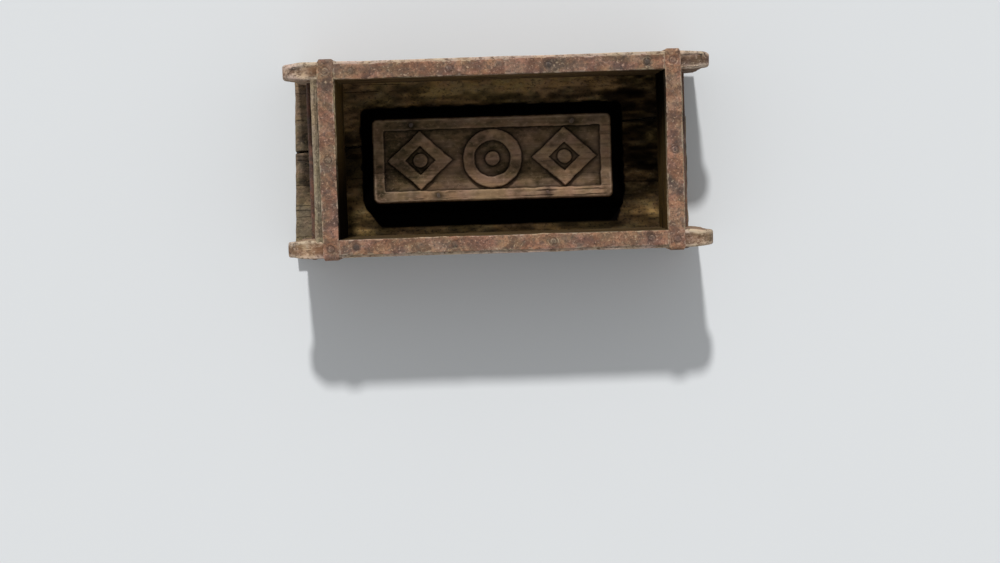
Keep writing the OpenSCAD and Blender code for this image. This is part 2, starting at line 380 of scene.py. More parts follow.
@dataclass
class Slab:
    """A board or plate: an outline in a plane, given a thickness and worn edges."""

    outline: np.ndarray
    thickness: float
    radius: np.ndarray
    core_step: float = 1.0
    face_steps: int = 36
    arc_steps: int = 5
    edge_steps: int = 8
    edge_fade: float = 1.6
    roundest: float = 0.48
    crowding: float = 0.8

    def core(self) -> np.ndarray:
        """The points in the middle of the slab that its faces run in to.

        Each is the nearest point on the middle line, moved to a whole number of steps, so that
        the two halves of a face meet point on point.

        Returns:
            One point for each point of the outline.
        """
        low = self.outline.min(axis=0)
        high = self.outline.max(axis=0)
        middle = (low + high) / 2.0
        along = int(np.argmax(high - low))
        half = max((high - low)[along] - (high - low)[1 - along], 0.0) / 2.0
        half = np.floor(half / self.core_step) * self.core_step
        offset = np.clip(self.outline[:, along] - middle[along], -half, half)
        core = np.tile(middle, (len(self.outline), 1))
        core[:, along] += np.round(offset / self.core_step) * self.core_step
        return core

    def surface(self) -> Surface:
        """Carry a profile round the outline.

        The profile runs from the core out over the front face, round a quarter circle, across
        the edge, round a second quarter circle and back in over the rear face. A point lies at
        outline + inset x the unit vector to the core, with the height across the thickness.

        Returns:
            The slab with its outline in x and y and its thickness in z, and the mark "edge",
            which is 1 on the two arrises and fades away from them.
        """
        reach = self.core() - self.outline
        length = np.linalg.norm(reach, axis=1, keepdims=True)
        inward = reach / np.maximum(length, TINY)
        radius = np.minimum(self.radius, self.thickness * self.roundest)[:, None]
        half = self.thickness / 2.0
        share = np.linspace(0.0, 1.0, self.face_steps) ** self.crowding
        turn = np.linspace(0.0, np.pi / 2.0, self.arc_steps + 1)[None, 1:]
        fall = np.linspace(0.0, 1.0, self.edge_steps + 1)[None, 1:-1]
        face_inset = length + (radius - length) * share[None, :]
        arc_inset = radius * (1.0 - np.sin(turn))
        arc_height = half - radius * (1.0 - np.cos(turn))
        edge_height = (half - radius) * (1.0 - 2.0 * fall)
        inset = np.hstack([face_inset, arc_inset, np.zeros_like(edge_height)])
        height = np.hstack([np.full_like(face_inset, half), arc_height, edge_height])
        inset = np.hstack([inset, arc_inset[:, ::-1], face_inset[:, ::-1]])
        height = np.hstack([height, -arc_height[:, ::-1], np.full_like(face_inset, -half)])
        flat = self.outline[:, None, :] + inward[:, None, :] * inset[:, :, None]
        points = np.concatenate([flat, height[:, :, None]], axis=-1)
        distance = np.maximum(inset - radius, 0.0) + np.maximum(half - radius - np.abs(height), 0.0)
        edge = np.exp(-distance / self.edge_fade)
        quads = grid_quads(*inset.shape, close_rows=True, close_columns=False)
        return Surface(points.reshape(-1, 3), quads, {"edge": edge.ravel()})


def revolved(profile: np.ndarray, turns: int) -> Surface:
    """Turn a profile round the z axis.

    A point of the profile at radius r and height h becomes (r cos a, r sin a, h) at each angle.

    Args:
        profile: Radius and height of each point, from one pole to the other.
        turns: Number of angles.

    Returns:
        The closed surface, with the mark "edge" set by the share of the widest radius.
    """
    angle = np.linspace(0.0, 2.0 * np.pi, turns, endpoint=False)[:, None]
    radius = profile[None, :, 0]
    ways = [radius * np.cos(angle), radius * np.sin(angle), profile[None, :, 1]]
    points = np.stack(np.broadcast_arrays(*ways), axis=-1)
    edge = np.broadcast_to(radius / profile[:, 0].max(), points.shape[:2])
    quads = grid_quads(turns, len(profile), close_rows=True, close_columns=False)
    return Surface(points.reshape(-1, 3), quads, {"edge": edge.ravel().copy()})


# Finishes


@dataclass(frozen=True)
class Pattern:
    """A fractal noise: marks per metre with and across the grain, layers, roughness and bend."""

    along: float
    across: float
    layers: float = 4.0
    rough: float = 0.6
    bend: float = 0.0


@dataclass(frozen=True)
class Ramp:
    """A smooth rise: the stretch of values that it maps, and what its two ends become."""

    low: float
    high: float
    to_low: float = 0.0
    to_high: float = 1.0


class NodeSheet:
    """A material's node tree, with short methods that add nodes and join them."""

    def __init__(self, name: str) -> None:
        """Start an empty material with one main shader.

        Args:
            name: The material's name.
        """
        self.material = bpy.data.materials.new(name)
        self.material.use_nodes = True
        self.tree = self.material.node_tree
        self.tree.nodes.clear()
        self.shader = self.tree.nodes.new("ShaderNodeBsdfPrincipled")
        output = self.tree.nodes.new("ShaderNodeOutputMaterial")
        self.tree.links.new(self.shader.outputs["BSDF"], output.inputs["Surface"])
        self.place = self.tree.nodes.new("ShaderNodeTexCoord").outputs["Object"]

    def put(self, socket: Socket, value: Value) -> None:
        """Join a socket to another, or set it to a plain value.

        Args:
            socket: The input to fill.
            value: Another node's output, a number or a colour.
        """
        if isinstance(value, Socket):
            self.tree.links.new(value, socket)
        else:
            socket.default_value = value

    def pattern(self, shape: Pattern, grain: Grain = Grain.ALONG_X) -> Socket:
        """A fractal noise between 0 and 1, read in object coordinates and drawn out with the grain.

        Args:
            shape: The noise's fineness and form.
            grain: The direction of the fibres.

        Returns:
            The noise's value.
        """
        scale = [shape.across] * 3
        scale[grain.value] = shape.along
        place = self.tree.nodes.new("ShaderNodeMapping")
        place.inputs["Scale"].default_value = scale
        self.put(place.inputs["Vector"], self.place)
        node = self.tree.nodes.new("ShaderNodeTexNoise")
        self.put(node.inputs["Vector"], place.outputs["Vector"])
        node.inputs["Scale"].default_value = 1.0
        node.inputs["Detail"].default_value = shape.layers
        node.inputs["Roughness"].default_value = shape.rough
        node.inputs["Distortion"].default_value = shape.bend
        return node.outputs["Fac"]

    def mark(self, name: str) -> Socket:
        """A number that the mesh keeps at its points.

        Args:
            name: The mark's name.

        Returns:
            The number, or zero on a mesh without that mark.
        """
        node = self.tree.nodes.new("ShaderNodeAttribute")
        node.attribute_name = name
        return node.outputs["Fac"]

    def ramp(self, value: Socket, ramp: Ramp) -> Socket:
        """Map a stretch of values onto another, smoothly and with both ends held.

        Args:
            value: What is mapped.
            ramp: The stretch and its two results.

        Returns:
            The mapped value.
        """
        node = self.tree.nodes.new("ShaderNodeMapRange")
        node.interpolation_type = "SMOOTHSTEP"
        self.put(node.inputs["Value"], value)
        node.inputs["From Min"].default_value = ramp.low
        node.inputs["From Max"].default_value = ramp.high
        node.inputs["To Min"].default_value = ramp.to_low
        node.inputs["To Max"].default_value = ramp.to_high
        return node.outputs["Result"]

    def reckon(self, step: Sum, first: Value, second: Value) -> Socket:
        """One step of arithmetic on two values.

        Args:
            step: What is done with them.
            first: The first value, as a socket or a number.
            second: The second value.

        Returns:
            The result.
        """
        node = self.tree.nodes.new("ShaderNodeMath")
        node.operation = step.value
        self.put(node.inputs[0], first)
        self.put(node.inputs[1], second)
        return node.outputs[0]

    def times(self, first: Value, second: Value) -> Socket:
        """The product of two values."""
        return self.reckon(Sum.TIMES, first, second)

    def blend(self, share: Value, under: Value, over: Value, lay: Lay = Lay.OVER) -> Socket:
        """Lay one colour on another.

        Args:
            share: How much of the upper colour shows, from 0 to 1.
            under: The lower colour, as a socket or as red, green and blue.
            over: The upper colour.
            lay: How the two are put together.

        Returns:
            The blended colour.
        """
        node = self.tree.nodes.new("ShaderNodeMix")
        node.data_type = "RGBA"
        node.blend_type = lay.value
        colours = [s for s in node.inputs if s.type == "RGBA"]
        self.put(node.inputs[0], share)
        for socket, colour in zip(colours, (under, over)):
            self.put(socket, linear(colour) if isinstance(colour, tuple) else colour)
        return next(s for s in node.outputs if s.type == "RGBA")

    def relief(self, height: Socket, depth: float, strength: float) -> None:
        """Let a height bend the shader's normal.

        Args:
            height: The height, from 0 to 1.
            depth: What 1 stands for, in metres.
            strength: How strongly it shows.
        """
        node = self.tree.nodes.new("ShaderNodeBump")
        node.inputs["Strength"].default_value = strength
        node.inputs["Distance"].default_value = depth
        self.put(node.inputs["Height"], height)
        if self.shader.inputs["Normal"].is_linked:
            self.put(node.inputs["Normal"], self.shader.inputs["Normal"].links[0].from_socket)
        self.put(self.shader.inputs["Normal"], node.outputs["Normal"])


@dataclass(frozen=True)
class HueDrift:
    """A slow wander of a colour, by tints in which 255 leaves a channel as it is."""

    green: Colour = (252, 256, 254)
    red: Colour = (259, 254, 255)
    yellow: Colour = (256, 255, 248)
    ashen: Colour = (254, 254, 263)
    warmth: Pattern = Pattern(34.0, 62.0, 4.0, 0.6, 0.5)
    paleness: Pattern = Pattern(46.0, 70.0, 4.0, 0.6, 0.4)
    turn: Ramp = Ramp(0.4, 0.6)

    def tint(self, sheet: NodeSheet, colour: Socket, grain: Grain) -> Socket:
        """Multiply a colour by two tints, each drawn from its pair by a noise of its own.

        Args:
            sheet: The material's nodes.
            colour: The colour to tint.
            grain: The direction in which the noises are drawn out.

        Returns:
            The tinted colour.
        """
        warm = sheet.ramp(sheet.pattern(self.warmth, grain), self.turn)
        pale = sheet.ramp(sheet.pattern(self.paleness, grain), self.turn)
        colour = sheet.blend(1.0, colour, sheet.blend(warm, self.green, self.red), Lay.TINT)
        return sheet.blend(1.0, colour, sheet.blend(pale, self.yellow, self.ashen), Lay.TINT)


@dataclass(frozen=True)
class AgedWood:
    """Hardwood that years of clay, oil and hands have darkened, rubbed and split, with painted shade
    laid over it in places.
    """

    name: str
    grain: Grain
    deep: Colour
    body: Colour
    light: Colour
    rubbed: Colour
    soaked: Colour
    handled: Colour
    stain: Colour = (28, 23, 17)
    black: Colour = (3, 2, 2)
    edge_share: float = 0.85
    fibre_share: float = 0.7
    figure: Pattern = Pattern(3.5, 95.0, 3.0, 0.6, 0.5)
    fibre: Pattern = Pattern(22.0, 620.0, 6.0, 0.65)
    streak: Pattern = Pattern(7.0, 210.0, 4.0, 0.6, 0.2)
    blotch: Pattern = Pattern(13.0, 36.0, 6.0, 0.62, 0.4)
    mottle: Pattern = Pattern(120.0, 210.0, 5.0, 0.64, 0.5)
    fleck: Pattern = Pattern(360.0, 480.0, 3.0, 0.7)
    grit: Pattern = Pattern(420.0, 560.0, 3.0, 0.7, 0.3)
    drift: HueDrift = HueDrift()
    split_line: Pattern = Pattern(0.9, 64.0, 1.0, 0.5)
    split_place: Pattern = Pattern(24.0, 30.0, 2.0)
    figure_ramp: Ramp = Ramp(0.34, 0.66)
    fibre_ramp: Ramp = Ramp(0.48, 0.8)
    streak_ramp: Ramp = Ramp(0.56, 0.74, 0.0, 0.55)
    mottle_dark: Ramp = Ramp(0.48, 0.72, 0.0, 0.4)
    fleck_ramp: Ramp = Ramp(0.53, 0.68, 0.0, 0.55)
    fleck_where: Ramp = Ramp(0.0, 0.3, 0.22, 1.0)
    grit_ramp: Ramp = Ramp(0.5, 0.66, 0.0, 0.75)
    bleach_ramp: Ramp = Ramp(0.38, 0.62, 1.0, 0.22)
    pit_ramp: Ramp = Ramp(0.55, 0.66, 0.0, 0.7)
    soak_ramp: Ramp = Ramp(0.4, 0.66, 1.0, 0.62)
    stain_ramp: Ramp = Ramp(0.5, 0.72, 0.0, 0.78)
    rub_ramp: Ramp = Ramp(0.36, 0.68, 1.0, 0.4)
    rub_cut: Ramp = Ramp(0.0, 0.9)
    split_width: Ramp = Ramp(0.002, 0.009, 1.0, 0.0)
    split_where: Ramp = Ramp(0.52, 0.6)
    split_level: float = 0.5
    split_share: float = 0.85
    ear_splits: float = 0.45
    dull_ramp: Ramp = Ramp(0.3, 0.7, 0.92, 0.72)
    shine_ramp: Ramp = Ramp(0.0, 1.0, 0.3, 0.02)
    soaked_dull: float = 0.95
    split_depth: float = 0.0012
    split_strength: float = 0.9
    mottle_depth: float = 0.0009
    mottle_strength: float = 0.5
    fibre_depth: float = 0.0007
    fibre_strength: float = 0.6
    fleck_depth: float = 0.0005
    fleck_strength: float = 0.5

    def build(self) -> bpy.types.Material:
        """Make the material.

        Growth figure, fibres and blotches set the colour. The mark "handled" bleaches it, "inside"
        soaks it with clay and oil, and on the frog block also darkens the carving as painted shade,
        "edge" rubs it pale, and the last mark blackens it: painted shade in corners and crevices,
        the painted shadow of the frog block on the floor, a darker floor towards the front, stains
        round nails and the near-black flanks of the frog block. Fine grit, flecks of dust and thin
        splits with the grain lie over them, and the hue wanders a little.

        Returns:
            The finished material.
        """
        sheet = NodeSheet(self.name)
        fibre = sheet.pattern(self.fibre, self.grain)
        fleck = sheet.pattern(self.fleck, self.grain)
        blotch = sheet.pattern(self.blotch, self.grain)
        mottle = sheet.pattern(self.mottle, self.grain)
        split = self.splits(sheet)
        colour = self.fresh(sheet, fibre, mottle)
        bleach = sheet.times(sheet.mark("handled"), sheet.ramp(mottle, self.bleach_ramp))
        colour = sheet.blend(bleach, colour, self.handled)
        pits = sheet.times(sheet.mark("handled"), sheet.ramp(blotch, self.pit_ramp))
        colour = sheet.blend(pits, colour, self.stain)
        # On the frog block the soaked colour also stands for painted shade over the carving.
        soak_and_carving_shade = sheet.times(sheet.mark("inside"), sheet.ramp(mottle, self.soak_ramp))
        colour = sheet.blend(soak_and_carving_shade, colour, self.soaked)
        colour = sheet.blend(sheet.ramp(blotch, self.stain_ramp), colour, self.stain)
        rub = sheet.times(sheet.mark("edge"), sheet.ramp(mottle, self.rub_ramp))
        rub = sheet.times(sheet.ramp(rub, self.rub_cut), self.edge_share)
        colour = sheet.blend(rub, colour, self.rubbed)
        grit = sheet.pattern(self.grit, self.grain)
        colour = sheet.blend(sheet.ramp(grit, self.grit_ramp), colour, self.deep)
        where = sheet.reckon(Sum.LARGER, sheet.mark("handled"), sheet.mark("edge"))
        where = sheet.ramp(where, self.fleck_where)
        dust = sheet.times(sheet.ramp(fleck, self.fleck_ramp), where)
        colour = sheet.blend(dust, colour, self.rubbed)
        colour = self.drift.tint(sheet, colour, self.grain)
        colour = sheet.blend(sheet.times(split, self.split_share), colour, self.stain)
        # Painted shade and shadow, stains and the frog block's black flanks, laid on in near black.
        colour = sheet.blend(sheet.mark("soot"), colour, self.black)
        sheet.put(sheet.shader.inputs["Base Color"], colour)
        sheet.put(sheet.shader.inputs["Roughness"], sheet.ramp(fibre, self.dull_ramp))
        dull = sheet.times(sheet.mark("inside"), self.soaked_dull)
        dull = sheet.reckon(Sum.LARGER, sheet.mark("soot"), dull)
        sheet.put(sheet.shader.inputs["Specular IOR Level"], sheet.ramp(dull, self.shine_ramp))
        sheet.relief(sheet.times(split, -1.0), self.split_depth, self.split_strength)
        sheet.relief(mottle, self.mottle_depth, self.mottle_strength)
        sheet.relief(fibre, self.fibre_depth, self.fibre_strength)
        sheet.relief(fleck, self.fleck_depth, self.fleck_strength)
        return sheet.material

    def fresh(self, sheet: NodeSheet, fibre: Socket, mottle: Socket) -> Socket:
        """The wood's own colour: a broad figure, pale fibres, dark streaks and patches.

        Args:
            sheet: The material's nodes.
            fibre: The noise of the fibres.
            mottle: The noise of the patches.

        Returns:
            The colour before any wear.
        """
        figure = sheet.pattern(self.figure, self.grain)
        streak = sheet.pattern(self.streak, self.grain)
        colour = sheet.blend(sheet.ramp(figure, self.figure_ramp), self.deep, self.body)
        pale = sheet.times(sheet.ramp(fibre, self.fibre_ramp), self.fibre_share)
        colour = sheet.blend(pale, colour, self.light)
        colour = sheet.blend(sheet.ramp(streak, self.streak_ramp), colour, self.deep)
        return sheet.blend(sheet.ramp(mottle, self.mottle_dark), colour, self.deep)

    def splits(self, sheet: NodeSheet) -> Socket:
        """Thin drying splits: where a long drawn noise crosses its middle, in some places only.

        Args:
            sheet: The material's nodes.

        Returns:
            One along a split, and zero elsewhere.
        """
        line = sheet.pattern(self.split_line, self.grain)
        off = sheet.reckon(Sum.SIZE, sheet.reckon(Sum.LESS, line, self.split_level), 0.0)
        where = sheet.ramp(sheet.pattern(self.split_place, self.grain), self.split_where)
        where = sheet.reckon(Sum.LARGER, where, sheet.times(sheet.mark("handled"), self.ear_splits))
        return sheet.times(sheet.ramp(off, self.split_width), where)


@dataclass(frozen=True)
class RustyIron:
    """Thin iron under a dry skin of brown rust, dark in patches and rubbed at its edges."""

    name: str
    rust: Colour
    bloom: Colour
    dark: Colour
    grey: Colour
    dust: Colour
    rubbed: Colour
    pit_depth: float = 0.0005
    drift: HueDrift = HueDrift(green=(248, 257, 254), red=(262, 250, 247), yellow=(256, 255, 245))
    cloud: Pattern = Pattern(95.0, 95.0, 6.0, 0.62, 0.5)
    patch: Pattern = Pattern(34.0, 34.0, 6.0, 0.66, 0.8)
    scale: Pattern = Pattern(210.0, 210.0, 4.0, 0.62, 0.5)
    grit: Pattern = Pattern(680.0, 680.0, 4.0, 0.7)
    fleck: Pattern = Pattern(480.0, 480.0, 4.0, 0.72, 0.3)
    cloud_ramp: Ramp = Ramp(0.38, 0.62)
    scale_ramp: Ramp = Ramp(0.48, 0.68, 0.0, 0.7)
    patch_ramp: Ramp = Ramp(0.49, 0.66, 0.0, 0.8)
    grit_ramp: Ramp = Ramp(0.48, 0.66, 0.0, 0.7)
    fleck_ramp: Ramp = Ramp(0.55, 0.68, 0.0, 0.6)
    rub_ramp: Ramp = Ramp(0.38, 0.64, 0.1, 1.0)
    rub_cut: Ramp = Ramp(0.15, 0.85, 0.0, 0.75)
    metal_ramp: Ramp = Ramp(0.4, 0.95, 0.05, 0.3)
    dull_ramp: Ramp = Ramp(0.4, 0.7, 0.86, 0.62)
    nail_share: float = 0.7
    cloud_depth: float = 1.6
    cloud_strength: float = 0.6
    scale_strength: float = 0.5
    grit_strength: float = 0.55

    def build(self) -> bpy.types.Material:
        """Make the material.

        Fractal noises mix the rusts with grey scale, a coarse one leaves dark patches, fine
        flecks carry dust, the mark "edge" rubs the arrises, the hue wanders a little, and "nail"
        darkens the iron round nails.

        Returns:
            The finished material.
        """
        sheet = NodeSheet(self.name)
        cloud = sheet.pattern(self.cloud)
        patch = sheet.pattern(self.patch)
        scale = sheet.pattern(self.scale)
        grit = sheet.pattern(self.grit)
        fleck = sheet.pattern(self.fleck)
        colour = sheet.blend(sheet.ramp(cloud, self.cloud_ramp), self.rust, self.bloom)
        colour = sheet.blend(sheet.ramp(scale, self.scale_ramp), colour, self.grey)
        colour = sheet.blend(sheet.ramp(patch, self.patch_ramp), colour, self.dark)
        colour = sheet.blend(sheet.ramp(grit, self.grit_ramp), colour, self.dark)
        colour = sheet.blend(sheet.ramp(fleck, self.fleck_ramp), colour, self.dust)
        rub = sheet.times(sheet.mark("edge"), sheet.ramp(scale, self.rub_ramp))
        colour = sheet.blend(sheet.ramp(rub, self.rub_cut), colour, self.rubbed)
        colour = self.drift.tint(sheet, colour, Grain.ALONG_X)
        colour = sheet.blend(sheet.times(sheet.mark("nail"), self.nail_share), colour, self.dark)
        sheet.put(sheet.shader.inputs["Base Color"], colour)
        sheet.put(sheet.shader.inputs["Metallic"], sheet.ramp(rub, self.metal_ramp))
        sheet.put(sheet.shader.inputs["Roughness"], sheet.ramp(patch, self.dull_ramp))
        sheet.relief(cloud, self.pit_depth * self.cloud_depth, self.cloud_strength)
        sheet.relief(scale, self.pit_depth, self.scale_strength)
        sheet.relief(grit, self.pit_depth, self.grit_strength)
        return sheet.material


@dataclass(frozen=True)
class PaleGround:
    """The plain pale ground that the mould lies on."""

    name: str = "pale_ground"
    colour: Colour = (223, 225, 226)
    shade: Colour = (220, 222, 223)
    tone: Pattern = Pattern(3.0, 3.0, 3.0)
    dullness: float = 0.95

    def build(self) -> bpy.types.Material:
        """Make a matt ground with a barely seen unevenness in its tone.

        Returns:
            The finished material.
        """
        sheet = NodeSheet(self.name)
        tone = sheet.pattern(self.tone)
        sheet.put(sheet.shader.inputs["Base Color"], sheet.blend(tone, self.shade, self.colour))
        sheet.shader.inputs["Roughness"].default_value = self.dullness
        return sheet.material


FLOOR_DRIFT = HueDrift(
    green=(251, 256, 252), red=(262, 252, 252), yellow=(257, 255, 245), ashen=(253, 254, 265))
SIDE_WOOD = AgedWood(
    "side_wood", Grain.ALONG_X, deep=(82, 59, 43), body=(128, 93, 67), light=(166, 130, 98),
    rubbed=(200, 178, 156), soaked=(128, 106, 72), handled=(193, 164, 134))
END_WOOD = AgedWood(
    "end_wood", Grain.ALONG_Y, deep=(72, 60, 45), body=(104, 89, 68), light=(140, 122, 97),
    rubbed=(188, 168, 138), soaked=(104, 81, 42), handled=(82, 71, 56), edge_share=0.5)
BASE_WOOD = AgedWood(
    "base_wood", Grain.ALONG_X, deep=(66, 55, 42), body=(106, 90, 69), light=(140, 120, 94),
    rubbed=(146, 126, 98), soaked=(165, 135, 89), handled=(122, 105, 82), edge_share=0.5,
    fibre_share=0.5, split_share=0.4, fleck_where=Ramp(0.0, 0.3, 1.0, 1.0), drift=FLOOR_DRIFT)
# The frog block's dark soaked colour also serves as painted shade over its carving.
FROG_WOOD = AgedWood(
    "frog_wood", Grain.ALONG_X, deep=(116, 92, 69), body=(160, 128, 99), light=(188, 156, 126),
    rubbed=(196, 166, 136), soaked=(64, 54, 37), handled=(118, 96, 72), edge_share=0.5,
    fibre_share=0.3, streak_ramp=Ramp(0.56, 0.74, 0.0, 0.15), stain_ramp=Ramp(0.54, 0.74, 0.0, 0.5),
    split_share=0.3, grit_ramp=Ramp(0.5, 0.68, 0.0, 0.4), fleck_ramp=Ramp(0.54, 0.7, 0.0, 0.2),
    fleck_where=Ramp(0.0, 0.3, 1.0, 1.0))
HOOP_IRON = RustyIron(
    "hoop_iron", rust=(112, 81, 63), bloom=(156, 118, 93), dark=(63, 47, 38), grey=(99, 81, 70),
    dust=(200, 171, 145), rubbed=(200, 175, 151))
ROD_IRON = RustyIron(
    "rod_iron", rust=(88, 60, 47), bloom=(114, 78, 60), dark=(48, 36, 31), grey=(84, 69, 60),
    dust=(140, 112, 92), rubbed=(140, 112, 92))
NAIL_IRON = RustyIron(
    "nail_iron", rust=(100, 77, 65), bloom=(130, 100, 81), dark=(58, 47, 41), grey=(100, 88, 80),
    dust=(176, 152, 131), rubbed=(168, 143, 123), pit_depth=0.0004)


class Palette:
    """Each finish, made once and handed out by name."""

    def __init__(self) -> None:
        """Build every finish of the mould."""
        finishes = (SIDE_WOOD, END_WOOD, BASE_WOOD, FROG_WOOD, HOOP_IRON, ROD_IRON, NAIL_IRON)
        self.made = {finish.name: finish.build() for finish in finishes}

    def dress(self, piece: bpy.types.Object, finish: AgedWood | RustyIron, *nodes: str) -> None:
        """Give a piece its finish, its body and the nodes that it stands for.

        Args:
            piece: The piece.
            finish: Its finish, whose name is also its slot.
            nodes: The nodes of the frame that it replaces.
        """
        piece.data.materials.append(self.made[finish.name])
        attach(piece, "root")
        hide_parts(*nodes)
        LOG.info("%s: %d faces in %s", piece.name, len(piece.data.polygons), finish.name)


# The wooden box


@dataclass
class SideBoard:
    """A long side of the box, with a lobed ear at each end to lift it by."""

    side: Side
    left_face: float = -145.0
    right_face: float = 140.0
    ear_reach: float = 22.0
    lobe_radius: float = 14.0
    lobe_steps: int = 40
    waist: float = 3.0
    taper: float = 1.5
    spacing: float = 0.9
    rim_round: float = 1.1
    left_round: BySide = BySide(2.4, 3.8)
    right_round: float = 2.5
    sharpest: float = 0.4
    ear_thinning: float = 0.15
    thin_from: float = 3.0
    cavity_half: float = 126.0
    wall_fade: float = 8.0
    outer_from: Stretch = (-1.0, 2.0)
    soak_depth: Stretch = (2.0, 6.0)
    bleach_from: Stretch = (-3.0, 6.0)
    right_bleach: BySide = BySide(0.4, 0.2)
    inner_soot: BySide = BySide(0.55, 0.0)
    right_soot: BySide = BySide(0.0, 0.3)
    right_from: Stretch = (10.0, 110.0)
    left_patch: BySide = BySide(0.9, 0.0)
    tip_from: Stretch = (8.0, 13.0)
    tip_share: float = 0.75
    low_rub: float = 0.35
    rim_rub: Stretch = (76.0, 93.0)
    rim_pale: Stretch = (2.6, 1.0)
    rim_share: float = 0.95
    nick: Wear = Wear((17.0, 17.0, 17.0), 0.5)
    chip: Wear = Wear((5.0, 5.0, 5.0), 0.35, 1)
    dent: Wear = Wear((60.0, 30.0, 16.0), 0.25, 2)
    ripple: Wear = Wear((26.0, 9.0, 9.0), 0.22, 3)
    fray: Wear = Wear((9.0, 4.0, 4.0), 0.1, 6)
    gouge: Wear = Wear((12.0, 6.0, 9.0), 0.4, 9)
    patch: Wear = Wear((6.0, 4.0, 6.0), 0.7, 12)
    seed: int = 40

    @property
    def node(self) -> str:
        """The node of the frame that the board stands for."""
        return f"side_board_{self.side.word}"

    def ear(self, low: float, rim: float) -> np.ndarray:
        """The right-hand ear's edge from the base up to the rim, measured from its end board.

        A straight edge leans out to the lobe, which is an arc of a circle level with the rim.

        Args:
            low: Height of the board's foot.
            rim: Height of the wooden rim.

        Returns:
            Reach and height of points along the edge.
        """
        centre = np.array([self.ear_reach - self.lobe_radius, rim - self.lobe_radius])
        waist_reach = self.ear_reach - self.waist
        first = -np.arccos((waist_reach - centre[0]) / self.lobe_radius)
        angle = np.linspace(first, np.pi / 2.0, self.lobe_steps)
        arc = centre + self.lobe_radius * np.stack([np.cos(angle), np.sin(angle)], axis=-1)
        foot = np.array([[waist_reach - self.taper, low]])
        return np.vstack([foot, arc])

    def outline(self, low: float, rim: float) -> np.ndarray:
        """The board's closed outline seen from the front.

        Args:
            low: Height of the board's foot.
            rim: Height of the wooden rim.

        Returns:
            Evenly spaced points, in x and z.
        """
        ear = self.ear(low, rim)
        right = ear + np.array([self.right_face, 0.0])
        left = ear[::-1] * np.array([-1.0, 1.0]) + np.array([self.left_face, 0.0])
        return closed_line(np.vstack([right, left]), self.spacing)

    def past(self, x: np.ndarray) -> np.ndarray:
        """How far places lie beyond the end boards, negative between them."""
        return np.maximum(x - self.right_face, self.left_face - x)

    def build(self) -> bpy.types.Object:
        """Wear the slab: thin and gouge the ears, dent the outer face and nick the edges.

        Returns:
            The board.
        """
        low, high = box_mm(self.node)
        seed = self.seed + SEED_STEP * self.side.sign
        outline = self.outline(low[2], high[2])
        flat = np.column_stack([outline, np.zeros(len(outline))])
        nose = smooth_step(0.0, self.ear_reach, self.past(outline[:, 0]))
        uneven = 1.0 + self.nick.height(flat, seed) + self.chip.height(flat, seed)
        ear_round = np.where(outline[:, 0] > 0.0, self.right_round, self.left_round.at(self.side))
        radius = (self.rim_round + (ear_round - self.rim_round) * nose) * uneven
        surface = Slab(outline, high[1] - low[1], np.maximum(radius, self.sharpest)).surface()
        x, z, depth = surface.points.T
        reach = self.past(x)
        outer = depth * self.side.sign
        depth = depth * (1.0 - self.ear_thinning * smooth_step(self.thin_from, self.ear_reach, reach))
        points = np.column_stack([x, depth + (low[1] + high[1]) / 2.0, z])
        ear = smooth_step(0.0, self.thin_from, reach)
        free = np.maximum(smooth_step(*self.outer_from, outer), ear)
        points[:, 1] -= self.side.sign * free * (self.dent.reach + self.dent.height(points, seed))
        points += self.ripple.shift(points, seed)
        points += self.fray.shift(points, seed)
        points += ear[:, None] * self.gouge.shift(points, seed)
        between = smooth_step(self.cavity_half + self.wall_fade, self.cavity_half, np.abs(x))
        surface.points = points
        surface.marks["inside"] = smooth_step(*self.soak_depth, -outer) * between
        # Painted shade on the inner faces: over the front board's, and growing to the right on the rear
        # board's.
        to_right = smooth_step(*self.right_from, x)
        black = self.inner_soot.at(self.side) + self.right_soot.at(self.side) * to_right
        surface.marks["soot"] = surface.marks["inside"] * black
        high_up = smooth_step(*self.rim_rub, z)
        rubbed = surface.marks["edge"] * (self.low_rub + (1.0 - self.low_rub) * high_up)
        rim = smooth_step(*self.rim_pale, high[2] - z) * between * self.rim_share
        surface.marks["edge"] = np.maximum(rubbed, rim)
        tip = self.tip_share * smooth_step(*self.tip_from, reach)
        patch = np.clip(tip + self.patch.height(points, seed), 0.0, 1.0)
        left_bleach = 1.0 - self.left_patch.at(self.side) * patch
        bleach = np.where(x > 0.0, self.right_bleach.at(self.side), left_bleach)
        surface.marks["handled"] = smooth_step(*self.bleach_from, reach) * bleach
        return surface.to_object(f"worn_{self.node}")


